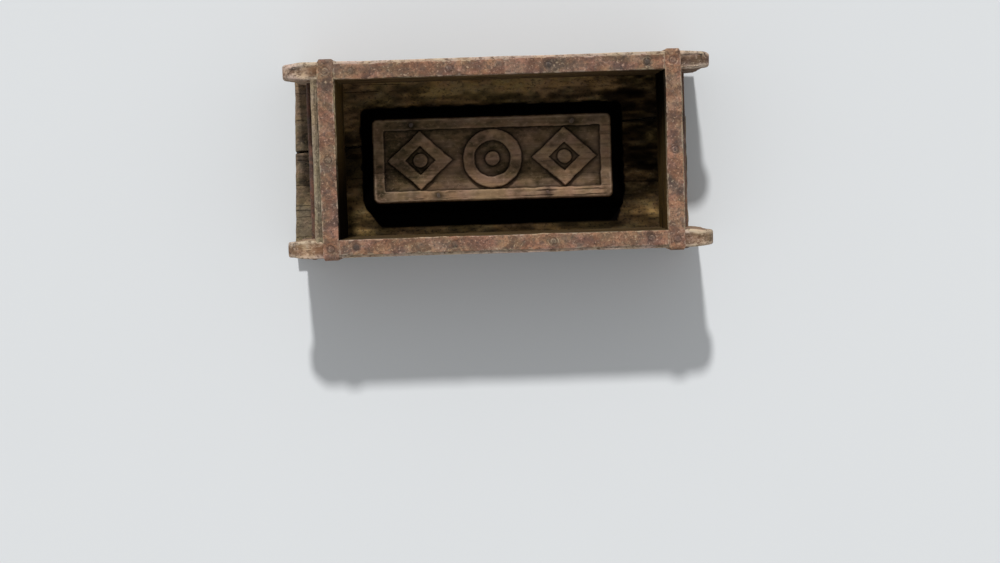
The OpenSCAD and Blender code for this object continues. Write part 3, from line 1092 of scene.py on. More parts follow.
@dataclass
class EndBoard:
    """A short end of the box, housed in the side boards."""

    side: Side
    spacing: float = 0.9
    rim_round: float = 1.4
    outer_from: Stretch = (-1.0, 2.0)
    soak_depth: Stretch = (1.0, 5.0)
    bleach_drop: Stretch = (9.0, 1.0)
    left_soot: Stretch = (46.0, -36.0)
    right_soot: Stretch = (-30.0, 42.0)
    soot_share: float = 0.95
    band_edge: float = 139.2
    dust_reach: float = 1.8
    nick: Wear = Wear((13.0, 13.0, 13.0), 0.5)
    dent: Wear = Wear((20.0, 45.0, 14.0), 0.25, 2)
    ripple: Wear = Wear((8.0, 22.0, 8.0), 0.2, 3)
    chip: Wear = Wear((4.0, 9.0, 5.0), 0.22, 6)
    dust: Wear = Wear((6.0, 14.0, 6.0), 0.6, 9)
    seed: int = 80

    @property
    def node(self) -> str:
        """The node of the frame that the board stands for."""
        return f"end_board_{self.side.word}"

    def build(self) -> bpy.types.Object:
        """Wear the slab: its outer face dents, its arrises round over and dust lines the band.

        Returns:
            The board.
        """
        low, high = box_mm(self.node)
        seed = self.seed + SEED_STEP * self.side.sign
        corners = np.array([[low[1], low[2]], [high[1], low[2]], [high[1], high[2]], [low[1], high[2]]])
        outline = closed_line(corners, self.spacing)
        flat = np.column_stack([outline, np.zeros(len(outline))])
        radius = self.rim_round * (1.0 + self.nick.height(flat, seed))
        surface = Slab(outline, high[0] - low[0], radius).surface()
        y, z, depth = surface.points.T
        outer = depth * self.side.sign
        points = np.column_stack([depth + (low[0] + high[0]) / 2.0, y, z])
        dent = self.dent.reach + self.dent.height(points, seed)
        points[:, 0] -= self.side.sign * dent * smooth_step(*self.outer_from, outer)
        points += self.ripple.shift(points, seed)
        points += self.chip.shift(points, seed)
        top = smooth_step(high[2] - self.bleach_drop[0], high[2] - self.bleach_drop[1], z)
        beside = np.abs(np.abs(points[:, 0]) - self.band_edge) / self.dust_reach
        dust = top * np.exp(-beside) * (1.0 + self.dust.height(points, seed))
        surface.points = points
        # Painted shade on the inner face, growing towards the front on the left board and towards the
        # rear on the right one.
        black = self.left_soot if self.side is Side.LEFT else self.right_soot
        surface.marks["inside"] = smooth_step(*self.soak_depth, -outer)
        surface.marks["soot"] = surface.marks["inside"] * smooth_step(*black, y) * self.soot_share
        surface.marks["handled"] = top
        surface.marks["edge"] = np.clip(np.maximum(surface.marks["edge"], dust), 0.0, 1.0)
        return surface.to_object(f"worn_{self.node}")


@dataclass
class BasePlank:
    """One of the two planks of the base, which part along a slanting joint."""

    side: Side
    left_end: float = -166.8
    skew: float = 2.3
    half_width: float = 75.5
    joint_left: float = 7.5
    joint_right: float = 28.3
    joint_gap: float = 1.6
    joint_to: float = 149.7
    joint_close: float = 0.7
    torn_from: Stretch = (1.0, -1.0)
    spacing: float = 0.95
    face_steps: int = 45
    arris_round: float = 1.1
    end_fade: float = 3.0
    hollow: float = 0.18
    wall_line: tuple[float, float] = (-145.0, 140.0)
    wall_y: float = 62.0
    wall_fade: float = 2.0
    nick: Wear = Wear((12.0, 12.0, 12.0), 0.6)
    fray: Wear = Wear((40.0, 4.5, 30.0), 0.22, 1)
    lean: Wear = Wear((40.0, 16.0, 30.0), 0.3, 2)
    sag: Wear = Wear((50.0, 14.0, 50.0), 0.18, 3)
    ripple: Wear = Wear((18.0, 6.0, 8.0), 0.14, 4)
    shade_reach: float = 10.5
    shade_lead: tuple[float, float] = (9.0, 12.0)
    shade_slant: tuple[float, float] = (0.7, 0.25)
    shade_foot: float = 0.9
    shade_fade: float = 2.4
    shade_corner: float = 6.0
    rear_soot: float = 0.26
    front_soot: float = 0.61
    front_from: Stretch = (40.0, 2.0)
    left_clear: float = 0.39
    left_from: Stretch = (-100.0, -112.0)
    right_soot: float = 0.85
    right_clear: float = 0.03
    right_from: Stretch = (70.0, 100.0)
    right_across: Stretch = (-27.0, -14.0)
    right_contrast: float = 1.0
    cloud: Wear = Wear((30.0, 12.0, 1.0), 0.9)
    spot: Wear = Wear((20.0, 5.0, 1.0), 0.9, 1)
    speck: Wear = Wear((7.0, 2.4, 1.0), 0.75, 2)
    ragged: Wear = Wear((5.0, 5.0, 1.0), 0.9)
    seed: int = 120

    @property
    def node(self) -> str:
        """The node of the frame that the plank stands for."""
        return f"base_plank_{self.side.word}"

    def joint(self, x: np.ndarray | float) -> np.ndarray | float:
        """The plank's edge at the joint.

        Args:
            x: Places along the mould.

        Returns:
            The places of the edge across the mould.
        """
        slope = (self.joint_right - self.joint_left) / (self.joint_to - self.left_end)
        return self.joint_left + slope * (x - self.left_end) + self.side.sign * self.joint_gap / 2.0

    def left_at(self, y: np.ndarray | float) -> np.ndarray | float:
        """Place of the plank's left end, which is cut askew, at places across the mould."""
        return self.left_end + self.skew * y / self.half_width

    def soot(self, x: np.ndarray, y: np.ndarray) -> np.ndarray:
        """How black the floor is: a painted shadow of the frog block before it, painted shade at the
        right end away from the front, and a darker tone towards the front.

        The painted shadow before the block narrows away from it, as the block's sloping end throws it.
        What light the rest keeps is multiplied by e to the power of three noises of falling size.

        Args:
            x: Places along the mould.
            y: Places across it.

        Returns:
            Blackness from 0 to 1 at each place.
        """
        low, high = box_mm("frog_block")
        place = np.stack([x, y, np.zeros_like(x)], axis=-1)
        cut = [slant * np.maximum(low[1] + lead - y, 0.0)
               for slant, lead in zip(self.shade_slant, self.shade_lead)]
        beside = np.maximum(low[0] - x + cut[0], x - high[0] + cut[1])
        before = np.maximum(low[1] - y, 0.0)
        corner = [np.maximum(off + self.shade_corner, 0.0) for off in (beside, y - high[1])]
        off = np.hypot(*corner) - self.shade_corner + self.ragged.height(place, self.seed)
        # Painted cast shadow of the frog block on the floor before it.
        foot = smooth_step(self.shade_foot + self.shade_fade, self.shade_foot, off)
        foot = foot * smooth_step(self.shade_reach + self.shade_fade, self.shade_reach, before)
        general = self.rear_soot + self.front_soot * smooth_step(*self.front_from, y)
        # Painted shade at the right end of the floor, fading towards the front.
        far_right = smooth_step(*self.right_from, x)
        near = smooth_step(*self.right_across, y)
        right = self.right_soot * far_right * near
        clear = self.right_clear * far_right + self.left_clear * smooth_step(*self.left_from, x)
        general = general * (1.0 - clear * (1.0 - near))
        patches = [wear.height(place, self.seed) for wear in (self.cloud, self.spot, self.speck)]
        contrast = 1.0 + self.right_contrast * far_right * near
        light = (1.0 - np.maximum(general, right)) * np.exp(contrast * sum(patches))
        return np.clip(np.maximum(1.0 - light, foot), 0.0, 1.0)

    def build(self) -> bpy.types.Object:
        """Wear the slab: its ends fray, its top hollows and its torn edges close up underneath.

        Returns:
            The plank.
        """
        low, high = box_mm(self.node)
        seed = self.seed + SEED_STEP * self.side.sign
        far = low[1] if self.side is Side.FRONT else high[1]
        inner = self.left_at(self.joint_left)
        corners = np.array([[self.left_at(far), far], [high[0], far],
                            [high[0], self.joint(high[0])], [inner, self.joint(inner)]])
        outline = closed_line(corners, self.spacing)
        flat = np.column_stack([outline, np.zeros(len(outline))])
        radius = self.arris_round * (1.0 + self.nick.height(flat, seed))
        surface = Slab(outline, high[2] - low[2], radius, face_steps=self.face_steps).surface()
        x, y, height = surface.points.T
        points = np.column_stack([x, y, height + (low[2] + high[2]) / 2.0])
        left = smooth_step(self.end_fade, 0.0, x - self.left_at(y))
        end = np.maximum(smooth_step(high[0] - self.end_fade, high[0], x), left)
        points[:, 0] += end * (self.fray.height(points, seed) + self.lean.height(points, seed))
        upper = smooth_step(0.0, self.end_fade, height)
        points[:, 2] -= upper * (self.hollow + self.sag.height(points, seed))
        points += upper[:, None] * self.ripple.shift(points, seed)
        torn = smooth_step(self.end_fade, 0.0, np.abs(y - self.joint(x)))
        torn = torn * smooth_step(*self.torn_from, height)
        points[:, 1] -= self.side.sign * self.joint_close * torn
        walled = smooth_step(self.wall_line[0], self.wall_line[0] + self.wall_fade, x)
        walled = walled * smooth_step(self.wall_line[1], self.wall_line[1] - self.wall_fade, x)
        walled = walled * smooth_step(self.wall_y + self.wall_fade, self.wall_y, np.abs(y))
        surface.points = points
        surface.marks["inside"] = walled * upper
        # Painted shadow and shade, with a darker floor towards the front.
        surface.marks["soot"] = walled * upper * self.soot(x, y)
        over_end = np.maximum(self.wall_line[0] - x, x - self.wall_line[1])
        surface.marks["handled"] = smooth_step(-self.wall_fade, 0.0, over_end) * upper
        return surface.to_object(f"worn_{self.node}")


@dataclass
class FrogBlock:
    """The raised block that leaves the hollow in a brick, with a carved face."""

    node: str = "frog_block"
    flare: float = 10.5
    corner: float = 3.0
    left_foot_corner: float = 12.0
    right_foot_corner: float = 7.0
    corner_rounds: int = 6
    relief: float = 4.0
    border: float = 7.5
    field_corner: float = 1.0
    motif_height: float = 47.0
    lozenge_width: float = 51.67
    line: float = 9.0
    pitch: float = 57.67
    boss: float = 11.0
    spacing: float = 0.5
    foot_depth: float = 0.6
    foot_skirt: float = 0.1
    cut_slope: float = 0.45
    arris: float = 0.55
    arris_shift: float = 0.4
    rounding: float = 0.5
    round_reach: float = 1.2
    edge_reach: float = 0.8
    flank_from: Stretch = (0.5, 1.8)
    crevice: float = 1.0
    crevice_reach: float = 2.0
    damp: float = 0.22
    carved_damp: float = 0.3
    left_damp: float = 0.62
    left_from: Stretch = (-45.0, -88.0)
    nail_rear_x: float = 64.0
    nail_front_x: float = 44.0
    nail_y: float = 28.25
    nail_stain: float = 0.75
    stain_reach: float = 4.2
    waver: Wear = Wear((7.0, 7.0, 7.0), 0.45)
    chip: Wear = Wear((2.5, 2.5, 2.5), 0.25, 1)
    fibre: Wear = Wear((30.0, 1.6, 1.0), 0.1, 2)
    warp: Wear = Wear((35.0, 12.0, 1.0), 0.25, 3)
    pock: Wear = Wear((3.4, 2.8, 1.0), 0.16, 4)
    cloud: Wear = Wear((26.0, 16.0, 1.0), 0.54, 20)
    spot: Wear = Wear((9.0, 7.0, 1.0), 0.38, 21)
    speck: Wear = Wear((3.0, 2.2, 1.0), 0.34, 22)
    seed: int = 201

    def face_distance(self, x: np.ndarray, y: np.ndarray, half: np.ndarray, corner: float) -> np.ndarray:
        """Distance outside a rectangle with round corners, negative inside it.

        Args:
            x: Places along the block.
            y: Places across it.
            half: Half the rectangle's length and width.
            corner: Its corner radius.

        Returns:
            The distance at each place.
        """
        qx = np.abs(x) - half[0] + corner
        qy = np.abs(y) - half[1] + corner
        outside = np.hypot(np.maximum(qx, 0.0), np.maximum(qy, 0.0))
        return outside + np.minimum(np.maximum(qx, qy), 0.0) - corner

    def flank_distance(self, x: np.ndarray, y: np.ndarray, half: np.ndarray) -> np.ndarray:
        """Distance outside the face, with corners that grow wider down to the foot.

        The distance is put back into the size and the corner radius of the rectangle that it is
        measured from, and measured again, until it settles.

        Args:
            x: Places along the block.
            y: Places across it.
            half: Half the face's length and width.

        Returns:
            The distance at each place, negative on the face.
        """
        widest = np.where(x < 0.0, self.left_foot_corner, self.right_foot_corner)
        reach = np.zeros_like(x)
        for _ in range(self.corner_rounds):
            share = np.clip(reach / self.flare, 0.0, 1.0)
            corner = self.corner + (widest - self.corner) * share
            reach = reach + self.face_distance(np.abs(x) - reach, np.abs(y) - reach, half, corner)
        return reach

    def motif_distance(self, x: np.ndarray, y: np.ndarray) -> np.ndarray:
        """Distance outside the raised ornament: a ring between two lozenges, each with a boss.

        A line of the ornament is where the distance to its middle is under half its width.

        Args:
            x: Places along the block.
            y: Places across it.

        Returns:
            The distance at each place, negative on the ornament.
        """
        radius = np.hypot(x, y)
        ring = np.abs(radius - (self.motif_height - self.line) / 2.0) - self.line / 2.0
        nearest = np.minimum(ring, radius - self.boss / 2.0)
        half = np.array([self.lozenge_width, self.motif_height]) / 2.0
        slant = half[0] * half[1] / np.hypot(*half)
        off = np.abs(x) - self.pitch
        lozenge = (np.abs(off) / half[0] + np.abs(y) / half[1] - 1.0) * slant
        rim = np.abs(lozenge + self.line / 2.0) - self.line / 2.0
        nearest = np.minimum(nearest, rim)
        return np.minimum(nearest, np.hypot(off, y) - self.boss / 2.0)

    def marks(self, flat: np.ndarray, outside: np.ndarray, cut: np.ndarray,
              carved: np.ndarray) -> dict[str, np.ndarray]:
        """Where the block is damp, with painted shade over its carving, where it is rubbed, and where it
        is black: its near-black flanks, painted shade in its crevices and stains round its nails.

        Args:
            flat: Places on the block, level.
            outside: Distance outside the face.
            cut: Distance outside the carving.
            carved: Share of the carving's depth.

        Returns:
            The marks "inside" and "edge", and the mark of stains and painted shade, at each place.
        """
        flank = smooth_step(*self.flank_from, outside)
        patches = [wear.height(flat, self.seed) for wear in (self.cloud, self.spot, self.speck)]
        left = self.left_damp * smooth_step(*self.left_from, flat[..., 0])
        # Damp, plus painted shade over the carving.
        damp = np.clip(self.damp + self.carved_damp * carved + left + sum(patches), 0.0, 1.0)
        rubbed = np.exp(-np.abs(cut) / self.edge_reach) * (1.0 - carved)
        rubbed = rubbed + np.exp(-np.abs(outside) / self.edge_reach)
        # Painted shade in the crevices of the carving, darkest at the foot of each step; the nail stains
        # join it below.
        crevice = self.crevice * carved * np.exp(np.minimum(cut, 0.0) / self.crevice_reach)
        spots = np.array([[self.nail_rear_x, self.nail_y], [self.nail_front_x, -self.nail_y]])
        beside = np.abs(flat[..., 0, None]) - spots[:, 0]
        gap = np.hypot(beside, flat[..., 1, None] - spots[:, 1]).min(axis=-1)
        crevice = np.maximum(crevice, self.nail_stain * np.exp(-((gap / self.stain_reach) ** 2)))
        return {"inside": damp * (1.0 - flank), "edge": np.clip(rubbed, 0.0, 1.0) * (1.0 - flank),
                "soot": np.maximum(flank, crevice)}

    def build(self) -> bpy.types.Object:
        """Work the block as a height over a grid, with a thin skirt closed underneath.

        The face is level, less the carving, which falls by a smooth step along the edge of each
        cut. Outside the face the flank falls at height / flare, down to the foot.

        Returns:
            The block.
        """
        low, high = box_mm(self.node)
        centre = (low + high) / 2.0
        height = high[2] - low[2]
        half_foot = (high - low)[:2] / 2.0
        half_face = half_foot - self.flare
        columns, rows = (2.0 * half_foot / self.spacing).astype(int) + 1
        x, y = np.meshgrid(np.linspace(-half_foot[0], half_foot[0], columns),
                           np.linspace(-half_foot[1], half_foot[1], rows), indexing="ij")
        flat = np.stack([x, y, np.zeros_like(x)], axis=-1)
        waver = self.waver.height(flat, self.seed) + self.chip.height(flat, self.seed)
        outside = self.flank_distance(x, y, half_face) + waver / 2.0
        field_distance = self.face_distance(x, y, half_face - self.border, self.field_corner)
        cut = np.maximum(field_distance, -self.motif_distance(x, y)) + waver
        carved = smooth_step(self.cut_slope, -self.cut_slope, cut)
        fall = self.arris * np.logaddexp(0.0, (outside - self.arris_shift) / self.arris)
        worn = sum(wear.height(flat, self.seed) for wear in (self.fibre, self.warp, self.pock))
        rounded = self.rounding * np.exp(-np.abs(cut) / self.round_reach) * (1.0 - carved)
        z = height - self.relief * carved - fall * height / self.flare + worn - rounded
        z = np.clip(z, -self.foot_depth, height)
        top = np.stack([x + centre[0], y + centre[1], z + low[2]], axis=-1).reshape(-1, 3)
        quads = grid_quads(columns, rows, close_rows=False, close_columns=False)
        number = np.arange(columns * rows).reshape(columns, rows)
        ring = np.concatenate([number[0, :-1], number[:-1, -1], number[-1, :0:-1], number[:0:-1, 0]])
        under = low[2] - self.foot_depth - self.foot_skirt
        skirt = top[ring] * np.array([1.0, 1.0, 0.0]) + np.array([0.0, 0.0, under])
        below = np.arange(len(ring)) + len(top)
        wall = np.column_stack([ring, np.roll(ring, -1), np.roll(below, -1), below])
        marks = self.marks(flat, outside, cut, carved)
        marks = {n: np.concatenate([v.ravel(), np.zeros(len(ring))]) for n, v in marks.items()}
        surface = Surface(np.vstack([top, skirt]), np.vstack([quads, wall]), marks, [below])
        return surface.to_object(f"carved_{self.node}")


# Hoop iron


@dataclass
class HoopIron:
    """A length of flat iron that lies along a path, hammered thin at its edges."""

    width: float
    thickness: float
    seed: int
    spacing: float = 0.6
    corner: float = 0.55
    corner_steps: int = 7
    across_steps: int = 26
    under_steps: int = 9
    dish: float = 0.6
    dish_radius: float = 3.8
    dish_power: int = 4
    edge_reach: float = 1.0
    ring_radius: float = 3.7
    ring_width: float = 0.5
    ring_share: float = 0.95
    seat_radius: float = 2.9
    seat_width: float = 0.45
    seat_share: float = 0.9
    upper_from: Stretch = (0.2, 0.9)
    edge_wave: Wear = Wear((22.0, 22.0, 22.0), 0.42)
    edge_nick: Wear = Wear((4.5, 4.5, 4.5), 0.24, 1)
    other_edge: int = 2
    wave: Wear = Wear((16.0, 16.0, 16.0), 0.11, 4)
    hammer: Wear = Wear((4.2, 4.2, 4.2), 0.16, 5)
    broken: Wear = Wear((4.0, 4.0, 4.0), 0.55, 6)

    def section(self) -> np.ndarray:
        """A flat section with round arrises, as places across the width and up from the wood.

        Returns:
            The closed section's points.
        """
        half = self.width / 2.0 - self.corner
        rise = np.linspace(-np.pi / 2.0, np.pi / 2.0, self.corner_steps)
        lift = (np.sin(rise) + 1.0) * self.thickness / 2.0
        bulge = np.stack([self.corner * np.cos(rise), lift], axis=-1)
        right = bulge + np.array([half, 0.0])
        left = bulge[::-1] * np.array([-1.0, 1.0]) - np.array([half, 0.0])
        over = np.linspace(half, -half, self.across_steps)[1:-1]
        under = np.linspace(-half, half, self.under_steps)[1:-1]
        top = np.column_stack([over, np.full(len(over), self.thickness)])
        bottom = np.column_stack([under, np.zeros(len(under))])
        return np.vstack([right, top, left, bottom])

    def edge_line(self, run: np.ndarray, seed: int) -> np.ndarray:
        """How far one edge is let in or out along its run.

        Args:
            run: Distance along the iron.
            seed: Chooses the edge.

        Returns:
            The change of the half width at each place.
        """
        line = np.column_stack([run, np.zeros((len(run), 2))])
        return self.edge_wave.height(line, seed) + self.edge_nick.height(line, seed)

    def along(self, path: np.ndarray, out: np.ndarray, across: np.ndarray, nails: np.ndarray,
              pinch: np.ndarray) -> Surface:
        """Carry the section along a path.

        A point lies at path + across x its place in the width + out x its height, with the two
        edges let in and out by noise, the face waved, and a shallow dish under every nail.

        Args:
            path: Points along the wood.
            out: Unit vectors away from the wood, at the same points.
            across: The unit vector of the width.
            nails: Places of the nails.
            pinch: Share of the width that is lost, at the same points.

        Returns:
            The closed strip, with the marks "edge" and "nail".
        """
        section = self.section()
        run = np.concatenate([[0.0], np.cumsum(np.linalg.norm(np.diff(path, axis=0), axis=1))])
        plus = self.edge_line(run, self.seed)[:, None]
        minus = self.edge_line(run, self.seed + self.other_edge)[:, None]
        share = section[None, :, 0] / (self.width / 2.0)
        place = section[None, :, 0] * (1.0 - pinch[:, None])
        place = place + np.where(share > 0.0, plus, minus) * share
        rise = np.broadcast_to(section[None, :, 1], place.shape)
        points = path[:, None, :] + across * place[..., None] + out[:, None, :] * rise[..., None]
        upper = smooth_step(*self.upper_from, rise / self.thickness)
        gap = np.linalg.norm(points[:, :, None, :] - nails[None, None, :, :], axis=-1).min(axis=-1)
        sunk = self.dish * np.exp(-((gap / self.dish_radius) ** self.dish_power)) + self.wave.reach
        raised = self.hammer.height(points, self.seed) + self.wave.height(points, self.seed)
        points = points + out[:, None, :] * (upper * (raised - sunk))[..., None]
        edge = np.exp(-(self.width / 2.0 - np.abs(section[:, 0])) / self.edge_reach)
        edge = np.broadcast_to(edge[None, :], place.shape)
        ends = np.exp(-np.minimum(run, run[-1] - run) / self.edge_reach)
        ring = self.ring_share * np.exp(-(((gap - self.ring_radius) / self.ring_width) ** 2))
        ring = ring * (self.broken.reach + self.broken.height(points, self.seed))
        edge = np.maximum(np.maximum(edge, ends[:, None]), ring)
        seat = self.seat_share * np.exp(-(((gap - self.seat_radius) / self.seat_width) ** 2))
        quads = grid_quads(len(path), len(section), close_rows=False, close_columns=True)
        count = len(section)
        caps = [np.arange(count)[::-1], np.arange(count) + (len(path) - 1) * count]
        marks = {"edge": edge.ravel(), "nail": seat.ravel()}
        return Surface(points.reshape(-1, 3), quads, marks, caps)


@dataclass
class RimStrip:
    """Flat iron on the rim of a side board."""

    side: Side
    nail_xs: tuple[float, ...] = (-113.4, -37.8, 37.8, 113.4)
    front_dark: tuple[float, ...] = (0.95, 0.4, 0.0, 0.1)
    rear_dark: tuple[float, ...] = (0.3, 0.2, 0.3, 0.85)
    nail_length: float = 26.0
    seed: int = 300

    @property
    def node(self) -> str:
        """The node of the frame that the strip stands for."""
        return f"rim_strip_{self.side.word}"

    @property
    def nail_dark(self) -> tuple[float, ...]:
        """How dark each nail's head is."""
        return self.rear_dark if self.side is Side.REAR else self.front_dark

    def build(self) -> bpy.types.Object:
        """Lay the iron straight along the rim.

        Returns:
            The strip.
        """
        low, high = box_mm(self.node)
        iron = HoopIron(high[1] - low[1], high[2] - low[2], self.seed + SEED_STEP * self.side.sign)
        middle = (low[1] + high[1]) / 2.0
        x = np.linspace(low[0], high[0], int((high[0] - low[0]) / iron.spacing))
        path = np.column_stack([x, np.full_like(x, middle), np.full_like(x, low[2])])
        out = np.tile([0.0, 0.0, 1.0], (len(x), 1))
        nails = np.array([[at, middle, high[2]] for at in self.nail_xs])
        surface = iron.along(path, out, np.array([0.0, 1.0, 0.0]), nails, np.zeros(len(x)))
        return surface.to_object(f"rusty_{self.node}")


@dataclass
class Band:
    """Hoop iron over an end's rim, bent down both side boards to the edge of the base."""

    side: Side
    leg_nail_zs: tuple[float, ...] = (60.0, 34.0, 6.0)
    rim_nail_ys: tuple[float, ...] = (-68.5, 0.0, 68.5)
    rim_nail_length: float = 26.0
    leg_nail_length: float = 24.0
    bend: float = 0.9
    bend_steps: int = 9
    pinch: float = 0.17
    pinch_drop: Stretch = (34.0, 10.0)
    seed: int = 330

    @property
    def node(self) -> str:
        """The node of the frame that the band stands for."""
        return f"band_{self.side.word}"

    def route(self, half: float, rim: float, foot: float,
              spacing: float) -> tuple[np.ndarray, np.ndarray]:
        """The line of the wood under the band, from the front foot over the rim to the rear foot.

        Straight legs and a straight top are joined by quarter circles at the two corners.

        Args:
            half: Half the width of the box.
            rim: Height of the wooden rim.
            foot: Height of the band's ends.
            spacing: Distance between points.

        Returns:
            The points in y and z, and the unit vectors away from the wood.
        """
        leg = np.linspace(foot, rim - self.bend, int((rim - foot) / spacing))
        top = np.linspace(-half + self.bend, half - self.bend, int(2.0 * half / spacing))[1:-1]
        turn = np.linspace(np.pi, np.pi / 2.0, self.bend_steps)
        out_turn = np.column_stack([np.cos(turn), np.sin(turn)])
        corner = np.array([-half + self.bend, rim - self.bend]) + self.bend * out_turn
        front = np.column_stack([np.full_like(leg, -half), leg])[:-1]
        flip = np.array([-1.0, 1.0])
        points = np.vstack([front, corner, np.column_stack([top, np.full_like(top, rim)]),
                            corner[::-1] * flip, front[::-1] * flip])
        up = np.tile([0.0, 1.0], (len(top), 1))
        side = np.tile([-1.0, 0.0], (len(front), 1))
        out = np.vstack([side, out_turn, up, out_turn[::-1] * flip, side[::-1] * flip])
        return points, out

    def build(self) -> bpy.types.Object:
        """Bend the iron round the end of the box, a little narrower below its bends.

        Returns:
            The band.
        """
        low, high = box_mm(self.node)
        board_low, board_high = box_mm("side_board_front")
        rim = board_high[2]
        iron = HoopIron(high[0] - low[0], high[2] - rim, self.seed + SEED_STEP * self.side.sign)
        middle = (low[0] + high[0]) / 2.0
        flat, flat_out = self.route(-board_low[1], rim, low[2], iron.spacing)
        path = np.column_stack([np.full(len(flat), middle), flat])
        out = np.column_stack([np.zeros(len(flat)), flat_out])
        nails = [[middle, y, high[2]] for y in self.rim_nail_ys]
        nails += [[middle, s * high[1], z] for z in self.leg_nail_zs for s in (-1.0, 1.0)]
        pinch = self.pinch * np.abs(flat_out[:, 0]) * smooth_step(*self.pinch_drop, rim - flat[:, 1])
        surface = iron.along(path, out, np.array([1.0, 0.0, 0.0]), np.array(nails), pinch)
        return surface.to_object(f"rusty_{self.node}")


# Rods, plates and nails


@dataclass
class TieRod:
    """An iron rod through both ears, with its ends hammered over."""

    side: Side
    radius: float = 1.9
    head_radius: float = 2.8
    head_height: float = 1.0
    neck: float = 0.1
    neck_share: float = 0.97
    dome_steps: int = 12
    stem_steps: int = 90
    turns: int = 28
    worn_ends: Stretch = (6.0, 1.0)
    worn_share: float = 0.7
    dent: Wear = Wear((3.0, 7.0, 3.0), 0.2)
    bow: Wear = Wear((40.0, 40.0, 40.0), 0.3, 4)
    seed: int = 400

    @property
    def node(self) -> str:
        """The node of the frame that the rod stands for."""
        return f"tie_rod_{self.side.word}"

    def profile(self, half: float) -> np.ndarray:
        """A low dome, a thin neck and half the stem, mirrored.

        Args:
            half: Half the rod's length.

        Returns:
            Radius and height of each point, from one pole to the other.
        """
        swing = np.linspace(np.pi / 2.0, 0.0, self.dome_steps)
        dome_height = half - self.head_height * (1.0 - np.sin(swing))
        dome = np.column_stack([self.head_radius * np.cos(swing), dome_height])
        under = half - self.head_height - self.neck
        stem_height = np.linspace(under, 0.0, self.stem_steps)
        stem = np.column_stack([np.full_like(stem_height, self.radius), stem_height])
        upper = np.vstack([dome, [[self.head_radius * self.neck_share, under]], stem])
        return np.vstack([upper, upper[::-1][1:] * np.array([1.0, -1.0])])

    def build(self) -> bpy.types.Object:
        """Turn the profile, lay it across the mould, then dent and bow it.

        Returns:
            The rod.
        """
        low, high = box_mm(self.node)
        half = (high[1] - low[1]) / 2.0
        seed = self.seed + SEED_STEP * self.side.sign
        surface = revolved(self.profile(half), self.turns)
        turned = surface.points[:, [0, 2, 1]] * np.array([1.0, 1.0, -1.0])
        off_axis = np.minimum(1.0, np.hypot(turned[:, 0], turned[:, 2]))
        dents = self.dent.shift(turned, seed) + self.bow.shift(turned, seed)
        dents = dents * np.array([1.0, 0.0, 1.0])
        surface.points = turned + dents * off_axis[:, None] + (low + high) / 2.0
        ends = smooth_step(half - self.worn_ends[0], half - self.worn_ends[1], np.abs(turned[:, 1]))
        surface.marks["edge"] = surface.marks["edge"] * ends * self.worn_share
        surface.marks["nail"] = np.zeros(len(surface.points))
        return surface.to_object(f"rusty_{self.node}")


@dataclass
class RodPlate:
    """A small square of iron between an ear and the hammered end of a rod."""

    end: Side
    side: Side
    edge_round: float = 0.6
    spacing: float = 0.4
    face_steps: int = 12
    edge_steps: int = 4
    edge_fade: float = 0.8
    seat: float = 2.8
    seat_share: float = 0.5
    cut: Wear = Wear((4.0, 4.0, 4.0), 0.25)
    hammer: Wear = Wear((3.0, 3.0, 3.0), 0.2, 3)
    seed: int = 430

    @property
    def node(self) -> str:
        """The node of the frame that the plate stands for."""
        return f"rod_plate_{self.end.word}_{self.side.word}"

    def build(self) -> bpy.types.Object:
        """Wear the slab: its corners are cut unevenly and its face is hammered.

        Returns:
            The plate.
        """
        low, high = box_mm(self.node)
        seed = self.seed + SEED_STEP * self.end.sign + self.side.sign
        reach = (high - low)[[0, 2]] / 2.0
        corners = reach * np.array([[1.0, -1.0], [1.0, 1.0], [-1.0, 1.0], [-1.0, -1.0]])
        outline = closed_line(corners, self.spacing)
        flat = np.column_stack([outline, np.zeros(len(outline))])
        outline = outline + self.cut.shift(flat, seed)[:, :2]
        radius = np.full(len(outline), self.edge_round)
        slab = Slab(outline, high[1] - low[1], radius, face_steps=self.face_steps,
                    edge_steps=self.edge_steps, edge_fade=self.edge_fade)
        surface = slab.surface()
        x, z, depth = surface.points.T
        points = np.column_stack([x, depth, z]) + (low + high) / 2.0
        outer = smooth_step(0.0, self.edge_round, depth * self.side.sign)
        points[:, 1] += self.side.sign * outer * self.hammer.height(points, seed)
        surface.points = points
        beyond = np.maximum(np.hypot(x, z) - self.seat, 0.0)
        surface.marks["nail"] = self.seat_share * np.exp(-beyond / self.edge_fade)
        return surface.to_object(f"rusty_{self.node}")


